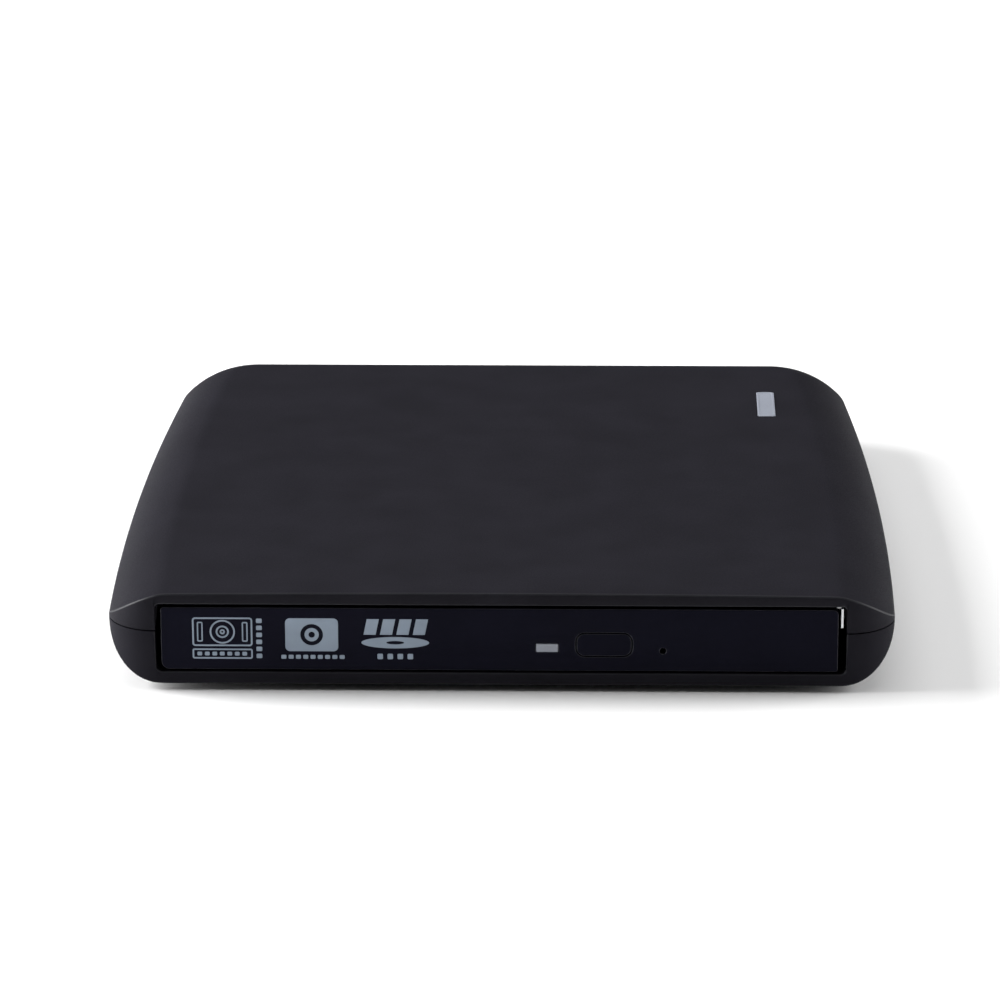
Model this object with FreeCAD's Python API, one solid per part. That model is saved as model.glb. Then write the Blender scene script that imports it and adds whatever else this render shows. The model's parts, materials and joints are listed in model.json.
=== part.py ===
import FreeCAD, Part
import collections
import math
import os

V = FreeCAD.Vector

# External optical drive: a slim tray drive inside a two-part plastic case.
# Millimetres. +X is the right side seen from the front, +Y the rear, +Z up.
# The origin is on the ground under the middle of the case.

# ---- case outline, seen from above
case_half_width = 75.06
case_depth = 148.0
front_y = -case_depth / 2
rear_y = case_depth / 2
widest_y = -41.5
side_radius = 1025.0
rear_corner_radius = 16.0
front_corner_radius = 9.4

# ---- case heights
foot_height = 1.3
parting_z = 11.85
parting_gap = 0.28
roof_z = 19.44
crown = 0.38
wall = 1.8
floor_wall = 1.6

# ---- upper wall profile: radius and the lean from upright, in degrees, where each arc begins and ends
upper_first = (2.2, 0.0, 42.0)
upper_last = (8.0, 73.0, 90.0)
lower_radius = parting_z - foot_height

# ---- front opening and drive position
opening_half_width = 65.33
opening_bottom = 3.77
opening_top = 17.0
drive_x = -0.26

# ---- slim drive
bezel_width = 128.0
bezel_front = front_y + 0.2
bezel_thickness = 2.2
bezel_back = bezel_front + bezel_thickness
bezel_bottom = 4.2
bezel_top = 16.7
chassis_half_width = 62.3
chassis_front = bezel_back + 0.2
chassis_rear = chassis_front + 126.0
chassis_bottom = 4.1
chassis_top = 16.7
sheet = 0.5

# ---- front controls, measured from the middle of the case
button_x = 19.56
button_z = 9.46
button_width = 10.4
button_height = 4.5
button_gap = 0.2
button_corner = 1.6
light_x = 8.8
light_z = 8.82
light_width = 4.14
light_height = 1.66
pinhole_x = 30.68
pinhole_z = 8.28
pinhole_radius = 0.6

# ---- tray
tray_front = chassis_front
tray_rear = tray_front + 124.8
tray_half_width = 61.2
tray_waist = 57.2
tray_wall = 1.4
tray_bottom = 5.6
tray_top = 15.2
plate_bottom = 9.9
recess_floor = 11.6
small_recess_floor = 11.0
disc_centre = V(0, tray_front + 63.0, 0)
disc_recess_radius = 60.6
small_recess_radius = 40.5
disc_seat_z = 13.0
disc_hole_radius = 7.5
hub_radius = disc_hole_radius - 0.05
hub_top = 14.95

# ---- traverse: a frame turned towards the front left corner, in its own u and v
traverse_turn = 225.0
rod_z = 7.6
rod_v = 10.6
screw_v = -16.6
screw_z = 8.2
lens_inner_u = 24.0
bush_places = [(-10.0, 24.5), (44.0, 24.5), (20.0, -24.5)]

# ---- rear sockets
board_z = 6.0
board_thickness = 1.2
board_top = board_z + board_thickness
usb_x = 18.0
usb_width = 7.7
usb_height = 3.9
usb_depth = 9.0
usb_sheet = 0.35
jack_x = -18.0
jack_width = 8.0
jack_height = 4.6
jack_bore_radius = 1.9
jack_bore_depth = 8.0
jack_pin_radius = 0.65
usb_mouth_y = rear_y - 1.3
jack_mouth_y = rear_y - 2.1

# ---- fixings
case_screw_places = [(66.3, -40.0), (-66.3, -40.0), (56.0, 60.0), (-56.0, 60.0)]
foot_places = [(54.0, -60.0), (-54.0, -60.0), (49.0, 56.0), (-49.0, 56.0)]
foot_radius = 5.0
foot_inset = 0.6
drive_screw_places = [(50.0, 38.0), (-50.0, 38.0)]
board_screw_places = [(38.0, 62.5), (-38.0, 62.5)]
main_board_top = 5.7

Screw = collections.namedtuple("Screw", "seat_z head_radius head_height shank_radius shank_length")
case_screw = Screw(4.0, 2.2, 1.3, 1.23, 9.0)
drive_screw = Screw(2.6, 2.1, 0.9, 0.95, 2.6)
board_screw = Screw(board_top, 1.9, 1.0, 0.88, 3.6)
bush_screw = Screw(6.25, 1.9, 0.7, 0.78, 4.4)


# ---------------------------------------------------------------- helpers

def cosd(angle):
    return math.cos(math.radians(angle))


def sind(angle):
    return math.sin(math.radians(angle))


def box(x0, x1, y0, y1, z0, z1):
    return Part.makeBox(x1 - x0, y1 - y0, z1 - z0, V(x0, y0, z0))


def rod(start, end, radius):
    axis = end - start
    return Part.makeCylinder(radius, axis.Length, start, axis)


def post(x, y, z0, z1, radius):
    return rod(V(x, y, z0), V(x, y, z1), radius)


def tube(x, y, z0, z1, inner, outer):
    return post(x, y, z0, z1, outer).cut(post(x, y, z0, z1, inner))


def slab(x0, x1, y0, y1, z0, z1, corner, axis=2):
    """A block whose four edges along one axis are rounded."""
    block = box(x0, x1, y0, y1, z0, z1)
    edges = [e for e in block.Edges if abs(e.tangentAt(e.FirstParameter)[axis]) > 0.9]
    return block.makeFillet(corner, edges)


def fused(shapes):
    return shapes[0].multiFuse(shapes[1:]).removeSplitter()


def in_drive(shape):
    """Moves a piece drawn about the middle of the drive to its place in the case."""
    return shape.translated(V(drive_x, 0, 0))


def in_traverse(shape):
    """Turns a piece drawn about the spindle, with the pickup's way along +X, to its place in the drive."""
    turned = shape.rotated(V(0, 0, 0), V(0, 0, 1), traverse_turn)
    return in_drive(turned.translated(disc_centre))


# ---------------------------------------------------------------- case outline and pillow

side_centre = V(case_half_width - side_radius, widest_y, 0)
beyond_front = front_y - 6.0


def corner_centre(y, radius):
    """The centre of a corner arc that touches the side, for a centre at this y."""
    reach = side_radius - radius
    return V(side_centre.x + math.sqrt(reach ** 2 - (y - widest_y) ** 2), y, 0)


rear_corner = corner_centre(rear_y - rear_corner_radius, rear_corner_radius)
front_corner = corner_centre(front_y + front_corner_radius, front_corner_radius)


def heading(centre, point):
    return math.degrees(math.atan2(point.y - centre.y, point.x - centre.x))


side_front_angle = heading(side_centre, front_corner)
side_rear_angle = heading(side_centre, rear_corner)
side_open_angle = -math.degrees(math.asin((widest_y - beyond_front) / side_radius))


def arc_about(centre, radius, angle_a, angle_b, z):
    angles = (angle_a, (angle_a + angle_b) / 2, angle_b)
    points = [V(centre.x + radius * cosd(a), centre.y + radius * sind(a), z) for a in angles]
    return Part.Arc(*points).toShape()


def mirrored(shape):
    return shape.mirror(V(0, 0, 0), V(1, 0, 0))


def right_edges(inset, z, start_angle):
    """The outline's right side and rear corner, moved inward by the inset."""
    side = arc_about(side_centre, side_radius - inset, start_angle, side_rear_angle, z)
    corner = arc_about(rear_corner, rear_corner_radius - inset, side_rear_angle, 90, z)
    return [side, corner]


def across(right_end):
    """A straight edge from the left side to this point on the right."""
    return Part.makeLine(V(-right_end.x, right_end.y, right_end.z), right_end)


def rear_edge(inset, z):
    return across(V(rear_corner.x, rear_y - inset, z))


def ordered_wire(edges):
    return Part.Wire(Part.__sortEdges__(edges))


def rounded_outline(inset, z):
    """The case outline with its rounded front corners, moved inward by the inset."""
    right = right_edges(inset, z, side_front_angle)
    right.append(arc_about(front_corner, front_corner_radius - inset, -90, side_front_angle, z))
    front = across(V(front_corner.x, front_y + inset, z))
    return ordered_wire(right + [mirrored(e) for e in right] + [rear_edge(inset, z), front])


def open_edges(inset, z):
    """The outline's sides and rear, run on past the front."""
    right = right_edges(inset, z, side_open_angle)
    return right + [mirrored(e) for e in right] + [rear_edge(inset, z)]


def open_front_end(inset, z):
    radius = side_radius - inset
    return V(
        side_centre.x + radius * cosd(side_open_angle), side_centre.y + radius * sind(side_open_angle), z)


def prism(wire, height):
    return Part.Face(wire).extrude(V(0, 0, height))


def roll_arcs(inset, z, turns, way):
    """Arcs of a wall that starts upright and leans inward, going up (way 1) or down (way -1)."""
    arcs = []
    for radius, lean_a, lean_b in turns:
        centre_inset = inset + radius * cosd(lean_a)
        centre_z = z - way * radius * sind(lean_a)
        leans = (lean_a, (lean_a + lean_b) / 2, lean_b)
        arcs.append([(centre_inset - radius * cosd(t), centre_z + way * radius * sind(t)) for t in leans])
        inset, z = arcs[-1][-1]
    return arcs


def profile_face(arcs, place):
    """The wall's profile, closed down its inner end, laid in space by the place function."""
    start = arcs[0][0]
    end = arcs[-1][-1]
    corner = (end[0], start[1])
    edges = [Part.Arc(*[place(p) for p in arc]).toShape() for arc in arcs]
    edges.append(Part.makeLine(place(end), place(corner)))
    edges.append(Part.makeLine(place(corner), place(start)))
    return Part.Face(Part.Wire(edges))


def turned_band(centre, radius, angle_a, angle_b, arcs):
    """The wall's profile swept round one arc of the outline."""
    def place(point):
        inset, z = point
        reach = radius - inset
        return V(centre.x + reach * cosd(angle_a), centre.y + reach * sind(angle_a), z)

    return profile_face(arcs, place).revolve(centre, V(0, 0, 1), angle_b - angle_a)


def rear_band(arcs):
    def place(point):
        inset, z = point
        return V(rear_corner.x, rear_y - inset, z)

    return profile_face(arcs, place).extrude(V(-2 * rear_corner.x, 0, 0))


def pillow(arcs, lid=None):
    """A solid with the wall profile on both sides and the rear, run on past the front."""
    start_z = arcs[0][0][1]
    end_inset, end_z = arcs[-1][-1]
    right = [
        turned_band(side_centre, side_radius, side_open_angle, side_rear_angle, arcs),
        turned_band(rear_corner, rear_corner_radius, side_rear_angle, 90, arcs)]
    front = across(open_front_end(end_inset, start_z))
    core = prism(ordered_wire(open_edges(end_inset, start_z) + [front]), end_z - start_z)
    pieces = right + [mirrored(s) for s in right] + [rear_band(arcs), core]
    if lid is not None:
        pieces.append(lid)
    return fused(pieces)


lid_depth = 3.0


def crowned_lid(inset, z):
    """The faintly domed middle of the roof: flush with the rolled walls, arched along the front."""
    end = open_front_end(inset, z)
    arch = Part.Arc(V(-end.x, end.y, z), V(0, end.y, z + crown), end).toShape()
    rim = ordered_wire(open_edges(inset, z) + [arch])
    return Part.makeFilledFace(rim.OrderedEdges).extrude(V(0, 0, -lid_depth))


upper_start = parting_z + parting_gap
middle_rise = sind(upper_last[1]) - sind(upper_first[2])
end_rise = upper_first[0] * sind(upper_first[2]) + upper_last[0] * (1 - sind(upper_last[1]))
middle_radius = (roof_z - upper_start - end_rise) / middle_rise
upper_turns = [upper_first, (middle_radius, upper_first[2], upper_last[1]), upper_last]
lower_turns = [(lower_radius, 0.0, 90.0)]


def upper_solid():
    arcs = roll_arcs(0.0, upper_start, upper_turns, 1)
    body = pillow(arcs, crowned_lid(*arcs[-1][-1]))
    return body.common(prism(rounded_outline(0.0, upper_start - 1.0), 12.0))


def upper_cavity():
    body = pillow(roll_arcs(wall, upper_start - wall, upper_turns, 1))
    return body.common(prism(rounded_outline(wall, upper_start - wall - 1.0), 12.0))


def lower_solid():
    body = pillow(roll_arcs(0.0, parting_z, lower_turns, -1))
    return body.common(prism(rounded_outline(0.0, 0.0), 14.0))


def lower_cavity():
    body = pillow(roll_arcs(wall, parting_z + floor_wall, lower_turns, -1))
    return body.common(prism(rounded_outline(wall, 0.0), 16.0))


def drive_bay():
    """Room for the drive behind the front opening."""
    half = chassis_half_width + 1.0
    bay_low = chassis_bottom - 0.3
    bay = box(drive_x - half, drive_x + half, front_y + 1.0, chassis_rear + 0.3, bay_low, opening_top)
    mouth = slab(
        -opening_half_width, opening_half_width, beyond_front, front_y + 3.0,
        opening_bottom, opening_top, 0.8, axis=1)
    return fused([bay, mouth])


def socket_openings():
    """Holes in the rear wall for the two sockets, with a pocket for the jack's square body."""
    y0 = rear_y - 8.0
    y1 = rear_y + 1.0
    low = board_top - 0.3
    usb_half = usb_width / 2 + 0.4
    usb = slab(usb_x - usb_half, usb_x + usb_half, y0, y1, low, board_top + usb_height + 0.4, 0.6, axis=1)
    jack = along_jack(y0, y1, jack_height / 2 + 0.1)
    jack_half = jack_width / 2 + 0.3
    pocket = box(
        jack_x - jack_half, jack_x + jack_half, y0, jack_mouth_y + 0.1, low, board_top + jack_height + 0.2)
    return fused([usb, jack, pocket])


# ---------------------------------------------------------------- case pieces

window_x = 52.8
window_y = 38.4
window_width = 3.65
window_length = 15.5
window_corner = 0.8
window_lens_top = roof_z + 0.1

lip_low = parting_z - 1.0
lip_height = 2.45
lip_inset = 1.05
lip_thickness = 0.7
lip_gap = 0.1

floor_z = foot_height + floor_wall
tower_low = 9.3
tower_top = 18.4
tower_radius = 2.6
tower_bore = 1.25
column_radius = 3.2
column_low = 2.2
column_top = 9.0
rest_x = 48.0
board_column_radius = 2.4
drive_pad_radius = 3.4


def window_slab(clearance, z0, z1):
    half_x = window_width / 2 + clearance
    half_y = window_length / 2 + clearance
    return slab(
        window_x - half_x, window_x + half_x, window_y - half_y, window_y + half_y, z0, z1, window_corner)


def top_shell():
    """Upper half of the case, with four screw towers that hang from the roof."""
    outer = upper_solid()
    lip_room = prism(rounded_outline(lip_inset - lip_gap, lip_low), lip_height + 2 * lip_gap)
    shell = outer.cut(upper_cavity()).cut(lip_room).cut(drive_bay())
    below_roof = post(0, 0, 0, opening_top, case_depth)
    towers = []
    for x, y in case_screw_places:
        tower = tube(x, y, tower_low, tower_top, tower_bore, tower_radius)
        towers.append(tower.common(fused([outer, below_roof])))
    return fused([shell] + towers).cut(window_slab(0.05, opening_top - 1.0, roof_z + 1.5))


def shell_lip():
    """The tongue that stands inside the upper half, left out across the front."""
    ring = prism(rounded_outline(lip_inset, lip_low), lip_height)
    ring = ring.cut(prism(rounded_outline(lip_inset + lip_thickness, lip_low), lip_height))
    return ring.cut(box(-80.0, 80.0, beyond_front, front_y + 12.0, 0.0, 20.0))


def bottom_shell():
    """Lower half of the case: lip, screw columns, drive rests, board columns and foot pockets."""
    shell = lower_solid().cut(lower_cavity()).cut(drive_bay())
    root = floor_z - 0.3
    extras = [shell_lip()]
    for x, y in case_screw_places:
        extras.append(post(x, y, column_low, column_top, column_radius))
    for x, y in drive_screw_places:
        extras.append(post(x, y, root, chassis_bottom, drive_pad_radius))
    for x in (-rest_x, rest_x):
        extras.append(box(x - 3.0, x + 3.0, -66.0, -50.0, root, chassis_bottom))
    for x, y in board_screw_places:
        extras.append(post(x, y, root, board_z, board_column_radius))
    shell = fused([shell] + extras)
    holes = [socket_openings()]
    for x, y in case_screw_places:
        holes.append(post(x, y, 0.0, case_screw.seat_z, case_screw.head_radius + 0.25))
        holes.append(post(x, y, 3.0, 12.0, case_screw.shank_radius + 0.22))
    for x, y in drive_screw_places:
        holes.append(post(x, y, 0.0, drive_screw.seat_z, drive_screw.head_radius + 0.2))
        holes.append(post(x, y, 2.0, 5.0, drive_screw.shank_radius + 0.15))
    for x, y in board_screw_places:
        holes.append(post(x, y, 3.2, 7.0, board_screw.shank_radius + 0.02))
    for x, y in foot_places:
        holes.append(post(x, y, 0.0, foot_height + foot_inset, foot_radius + 0.15))
    return shell.cut(fused(holes))


def status_window():
    """Light pipe: a lens flush with the roof, an arm over the drive and a leg down to the light."""
    low = chassis_top + 0.3
    high = low + 0.4
    leg_x0 = 40.5
    leg_x1 = 43.5
    arm_y0 = 43.8
    arm_y1 = 46.8
    leg_y1 = 61.5
    lens = window_slab(0.0, low, window_lens_top)
    flange = slab(49.8, 55.8, 29.6, 47.2, low, high, 1.0)
    arm = box(leg_x0, 52.0, arm_y0, arm_y1, low, high)
    run = box(leg_x0, leg_x1, arm_y0, leg_y1, low, high)
    leg = box(leg_x0, leg_x1, leg_y1 - 3.0, leg_y1, board_top + 2.0, high)
    return fused([lens, flange, arm, run, leg])


def rubber_feet():
    """Four discs with a rounded lower edge, glued in shallow pockets."""
    feet = []
    for x, y in foot_places:
        foot = post(x, y, 0.0, foot_height + foot_inset, foot_radius)
        low_edge = [e for e in foot.Edges if e.BoundBox.ZMax < 0.01]
        feet.append(foot.makeFillet(0.5, low_edge))
    return Part.Compound(feet)


def screw_up(x, y, kind):
    """A screw driven upward: cross-slotted head under the seat, shank above it."""
    head = post(x, y, kind.seat_z - kind.head_height, kind.seat_z, kind.head_radius)
    slot_half = kind.head_radius * 0.6
    slot_top = kind.seat_z - kind.head_height * 0.5
    slot_low = kind.seat_z - kind.head_height - 1.0
    slots = fused([
        box(x - slot_half, x + slot_half, y - 0.2, y + 0.2, slot_low, slot_top),
        box(x - 0.2, x + 0.2, y - slot_half, y + slot_half, slot_low, slot_top)])
    shank = post(x, y, kind.seat_z - 0.2, kind.seat_z + kind.shank_length, kind.shank_radius)
    return fused([head.cut(slots), shank])


def screw_down(x, y, kind):
    """The same screw driven downward, its head above the seat."""
    screw = screw_up(x, y, kind).translated(V(0, 0, -kind.seat_z))
    return screw.mirror(V(0, 0, 0), V(0, 0, 1)).translated(V(0, 0, kind.seat_z))


def case_screws():
    return Part.Compound([screw_up(x, y, case_screw) for x, y in case_screw_places])


def drive_mount_screws():
    return Part.Compound([screw_up(x, y, drive_screw) for x, y in drive_screw_places])


def board_screws():
    return Part.Compound([screw_down(x, y, board_screw) for x, y in board_screw_places])


# ---------------------------------------------------------------- bridge board

component_y0 = 58.6
sata_x0 = -26.0
sata_x1 = -2.0
capacitor_places = [(-30.0, 66.0, 2.0), (-8.0, 62.0, 1.6), (26.5, 64.5, 2.0)]


def bridge_board():
    board = slab(-46.0, 46.0, 57.0, 68.2, board_z, board_top, 1.0)
    return board.cut(fused([post(x, y, 5.0, 8.0, 1.1) for x, y in board_screw_places]))


def bridge_chip():
    return box(-4.0, 4.0, component_y0, component_y0 + 8.0, board_top, board_top + 1.0)


def bridge_crystal():
    return slab(7.0, 11.0, component_y0, component_y0 + 5.0, board_top, board_top + 1.6, 1.6)


def bridge_capacitors():
    return Part.Compound([post(x, y, board_top, board_top + 5.0, r) for x, y, r in capacitor_places])


def status_led():
    return box(41.0, 43.0, 59.0, 61.0, board_top, board_top + 0.9)


def sata_connector():
    """Connector at the board's front edge, with the tongue that enters the drive."""
    body = box(sata_x0, sata_x1, 55.0, 57.8, board_top, board_top + 3.0)
    tongue = box(sata_x0 + 2.0, sata_x1 - 2.0, 53.4, 55.2, board_top + 0.5, board_top + 1.4)
    return fused([body, tongue])


def usb_socket_shell():
    """Folded steel shell of a small five-pin socket, open at the rear."""
    x0 = usb_x - usb_width / 2
    x1 = usb_x + usb_width / 2
    z1 = board_top + usb_height
    back = usb_mouth_y - usb_depth
    shell = slab(x0, x1, back, usb_mouth_y, board_top, z1, 0.6, axis=1)
    room = slab(
        x0 + usb_sheet, x1 - usb_sheet, back + 0.6, usb_mouth_y + 1.0,
        board_top + usb_sheet, z1 - usb_sheet, 0.3, axis=1)
    return shell.cut(room)


def usb_socket_tongue():
    z = board_top + usb_height / 2
    root = usb_mouth_y - usb_depth + 0.6
    return box(usb_x - 2.4, usb_x + 2.4, root, usb_mouth_y - 1.6, z - 0.1, z + 0.9)


def along_jack(y0, y1, radius):
    z = board_top + jack_height / 2
    return rod(V(jack_x, y0, z), V(jack_x, y1, z), radius)


def dc_jack_body():
    half = jack_width / 2
    back = jack_mouth_y - jack_bore_depth - 2.0
    body = box(jack_x - half, jack_x + half, back, jack_mouth_y, board_top, board_top + jack_height)
    return body.cut(along_jack(jack_mouth_y - jack_bore_depth, jack_mouth_y + 1.0, jack_bore_radius))


def dc_jack_pin():
    return along_jack(jack_mouth_y - jack_bore_depth, jack_mouth_y - 0.8, jack_pin_radius)


# ---------------------------------------------------------------- drive: chassis

pan_top = 16.1
fold_gap = 0.05
fold_sheet = 0.4
tab_x0 = 64.52
tab_x1 = 64.93
tab_low = 12.9
tab_rear = -60.0
cover_screw_z = 14.8
cover_screw_ys = (-45.0, 38.0)


def chassis_base():
    """Steel pan: floor, two sides and the rear, with a window for the connector."""
    w = chassis_half_width
    outer = box(-w, w, chassis_front, chassis_rear, chassis_bottom, pan_top)
    floor_top = chassis_bottom + sheet
    room = box(-w + sheet, w - sheet, chassis_front - 1.0, chassis_rear - sheet, floor_top, pan_top + 1.0)
    window = box(sata_x0 - 0.2, sata_x1 + 0.8, chassis_rear - 1.0, chassis_rear + 1.0, 5.3, 9.7)
    beads = [
        slab(x - 2.0, x + 2.0, -40.0, 20.0, chassis_bottom - 0.1, chassis_bottom, 1.9) for x in (-20.0, 20.0)]
    pan = in_drive(fused([outer.cut(room).cut(window)] + beads))
    hole_radius = drive_screw.shank_radius + 0.05
    return pan.cut(fused([post(x, y, 3.0, 6.0, hole_radius) for x, y in drive_screw_places]))


def chassis_cover():
    """Steel lid with turned-down sides and a folded tab beside the bezel's right end."""
    inner = chassis_half_width + fold_gap
    outer = inner + fold_sheet
    fold_low = 13.2
    lid = box(-outer, outer, chassis_front, chassis_rear, chassis_top - sheet, chassis_top)
    sides = [
        box(inner, outer, chassis_front, chassis_rear, fold_low, chassis_top - 0.1),
        box(-outer, -inner, chassis_front, chassis_rear, fold_low, chassis_top - 0.1)]
    shelf = box(chassis_half_width, tab_x1, chassis_front, tab_rear, chassis_top - sheet, chassis_top)
    tab = box(tab_x0, tab_x1, front_y + 0.8, tab_rear, tab_low, chassis_top)
    return in_drive(fused([lid, shelf, tab] + sides))


def side_pin(way, x0, x1, y, radius):
    return rod(V(way * x0, y, cover_screw_z), V(way * x1, y, cover_screw_z), radius)


def cover_screws():
    """Small screws through the cover's folds into the pan's sides."""
    w = chassis_half_width
    screws = []
    for way in (1, -1):
        for y in cover_screw_ys:
            head = side_pin(way, w + 0.45, w + 0.75, y, 1.3)
            screws.append(fused([head, side_pin(way, w - 0.7, w + 0.5, y, 0.7)]))
    return in_drive(Part.Compound(screws))


def drilled_for_cover_screws(shape):
    w = chassis_half_width
    return shape.cut(in_drive(fused([side_pin(1, -w - 2.0, w + 2.0, y, 0.72) for y in cover_screw_ys])))


guide_front = chassis_front + 1.4
guide_rear = chassis_rear - 4.0
guide_low = 4.9
guide_high = 10.2
guide_x0 = 59.0
guide_x1 = 61.75
guide_back = 0.75
rail_x0 = 57.5
rail_x1 = 60.85
rail_low = 5.75
rail_high = 9.4
groove_low = 6.8
groove_high = 8.4


def sided(way, shape):
    """A piece drawn for the right side of the drive, or its mirror image for the left."""
    return in_drive(shape if way > 0 else mirrored(shape))


def rail_guide(way):
    """Plastic channel screwed inside the pan's side, open towards the tray."""
    back = box(guide_x1 - guide_back, guide_x1, guide_front, guide_rear, guide_low, guide_high)
    top = box(guide_x0, guide_x1, guide_front, guide_rear, guide_high - 0.6, guide_high)
    low = box(guide_x0, guide_x1, guide_front, guide_rear, guide_low, guide_low + 0.65)
    return sided(way, fused([back, top, low]))


def tray_rail(way):
    """Sliding rail between guide and tray, grooved on its inner side."""
    bar = box(rail_x0, rail_x1, guide_front + 0.2, guide_rear - 4.0, rail_low, rail_high)
    groove = box(rail_x0 - 0.5, rail_x0 + 2.15, guide_front - 5, guide_rear + 5, groove_low, groove_high)
    return sided(way, bar.cut(groove))


def main_board():
    return in_drive(slab(2.0, 40.0, 25.0, 52.0, 4.9, main_board_top, 1.0))


def drive_chip():
    return in_drive(box(14.0, 28.0, 31.0, 45.0, main_board_top, main_board_top + 1.3))


def drive_connector():
    """Socket at the pan's rear window, on a foot that stands on the pan."""
    x0 = sata_x0 + 1.6
    x1 = sata_x1 - 1.0
    body = box(x0, x1, 46.0, chassis_rear + 0.25, 5.6, 9.4)
    foot = box(x0, x1, 46.0, 50.0, 4.7, 5.7)
    socket = box(x0 + 0.5, x1 - 0.5, chassis_rear - 2.0, chassis_rear + 1.0, 7.5, 8.8)
    return in_drive(fused([body, foot]).cut(socket))


latch_post_x = 33.0
latch_post_y = 15.0


def latch_post():
    base = chassis_bottom + sheet
    foot = post(latch_post_x, latch_post_y, base, base + 0.5, 2.4)
    return in_drive(fused([foot, post(latch_post_x, latch_post_y, base, 8.4, 1.2)]))


flex_x0 = 43.5
flex_x1 = 54.5
flex_fold_y = -43.0
flex_rear_y = 33.0
flex_low_z = 4.95
flex_high_z = 7.45
flex_thickness = 0.16


def flex_cable():
    """Flat cable: from the main board forward along the pan, folded back to the tray."""
    half = flex_thickness / 2
    low = box(flex_x0, flex_x1, flex_fold_y, flex_rear_y, flex_low_z - half, flex_low_z + half)
    high = box(flex_x0, flex_x1, flex_fold_y, 22.0, flex_high_z - half, flex_high_z + half)
    branch = box(40.6, flex_x1, flex_rear_y - 4.0, flex_rear_y + 4.0, flex_low_z - half, flex_low_z + half)
    radius = (flex_high_z - flex_low_z) / 2
    centre = V(flex_x0, flex_fold_y, (flex_high_z + flex_low_z) / 2)
    width = V(flex_x1 - flex_x0, 0, 0)
    bend = rod(centre, centre + width, radius + half).cut(rod(centre, centre + width, radius - half))
    bend = bend.cut(box(flex_x0 - 1, flex_x1 + 1, flex_fold_y, 0, 0, 20))
    return in_drive(fused([low, high, branch, bend]))


# ---------------------------------------------------------------- drive: tray

pusher_x = -40.0
pusher_half = 3.15
pusher_y0 = 33.8
pusher_y1 = chassis_rear - sheet - 0.3
pusher_z0 = 6.5
pusher_z1 = 9.2
spring_stop_y = 19.6
lever_pivot = (36.5, -4.0)
guide_y0 = 24.0
guide_y1 = 50.0
rib_low = 5.8
rib_high = 10.2
notch_floor = 12.8
skirt_tip = 59.5
tongue_low = 6.95
tongue_high = 8.25


def traverse_window(clearance, z0, z1):
    """Outline of the opening in the tray that holds the traverse."""
    c = clearance
    wide = box(-17.5 + c, 58.3 - c, -20.9 + c, 20.9 - c, z0, z1)
    narrow = box(50.0, 64.4 - c, -14.8 + c, 14.8 - c, z0, z1)
    return fused([wide, narrow])


def span_box(xa, xb, y0, y1, z0, z1):
    """A box whose two x values may come in either order."""
    return box(min(xa, xb), max(xa, xb), y0, y1, z0, z1)


def tray_skirt(way):
    """One side wall under the tray, with the tongue that runs in the rail's groove."""
    inner = way * (tray_waist - tray_wall)
    wall_box = span_box(inner, way * tray_waist, tray_front, tray_rear, tray_bottom, rib_high)
    tongue = span_box(inner, way * skirt_tip, tray_front + 2.0, tray_rear - 6.0, tongue_low, tongue_high)
    return [wall_box, tongue]


def pusher_guides():
    """Ribs that hold the eject pusher from both sides and below, and the spring's stop."""
    ribs = []
    for way in (1, -1):
        outer = pusher_x + way * (pusher_half + 1.45)
        inner = pusher_x + way * (pusher_half + 0.15)
        lip = pusher_x + way * (pusher_half - 0.85)
        ribs.append(span_box(inner, outer, guide_y0, guide_y1, rib_low, rib_high))
        ribs.append(span_box(lip, outer, guide_y0, guide_y1, rib_low, pusher_z0 - 0.15))
    half = pusher_half + 1.45
    stop = box(pusher_x - half, pusher_x + half, spring_stop_y - 1.6, spring_stop_y, rib_low, rib_high)
    return ribs + [stop]


def bush_posts():
    """Pillars under the tray that the traverse's bushes are screwed to."""
    pillars = []
    for u, v in bush_places:
        spot = FreeCAD.Rotation(V(0, 0, 1), traverse_turn).multVec(V(u, v, 0)) + disc_centre
        pillars.append(post(spot.x, spot.y, 9.0, rib_high, 2.6))
    return pillars


def tray_hollows():
    """The disc recesses, finger notches and the room for the parts under the tray."""
    cx, cy = disc_centre.x, disc_centre.y
    above = tray_top + 5.0
    return [
        post(cx, cy, recess_floor, above, disc_recess_radius),
        post(cx, cy, small_recess_floor, above, small_recess_radius),
        slab(-26.0, 26.0, tray_front - 5.0, tray_front + 12.0, notch_floor, above, 4.0),
        slab(-34.0, 34.0, tray_rear - 12.0, tray_rear + 5.0, notch_floor, above, 4.0),
        box(3.5, 36.0, tray_front - 1.0, tray_front + 9.5, 5.0, 10.95),
        box(button_x - 6.0, button_x + 6.5, tray_front - 1.0, tray_front + 1.0, 6.0, 12.2),
        box(flex_x0 - 0.5, flex_x1 + 0.7, tray_front + 1.5, tray_rear + 1.0, 5.0, 7.2)]


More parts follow.
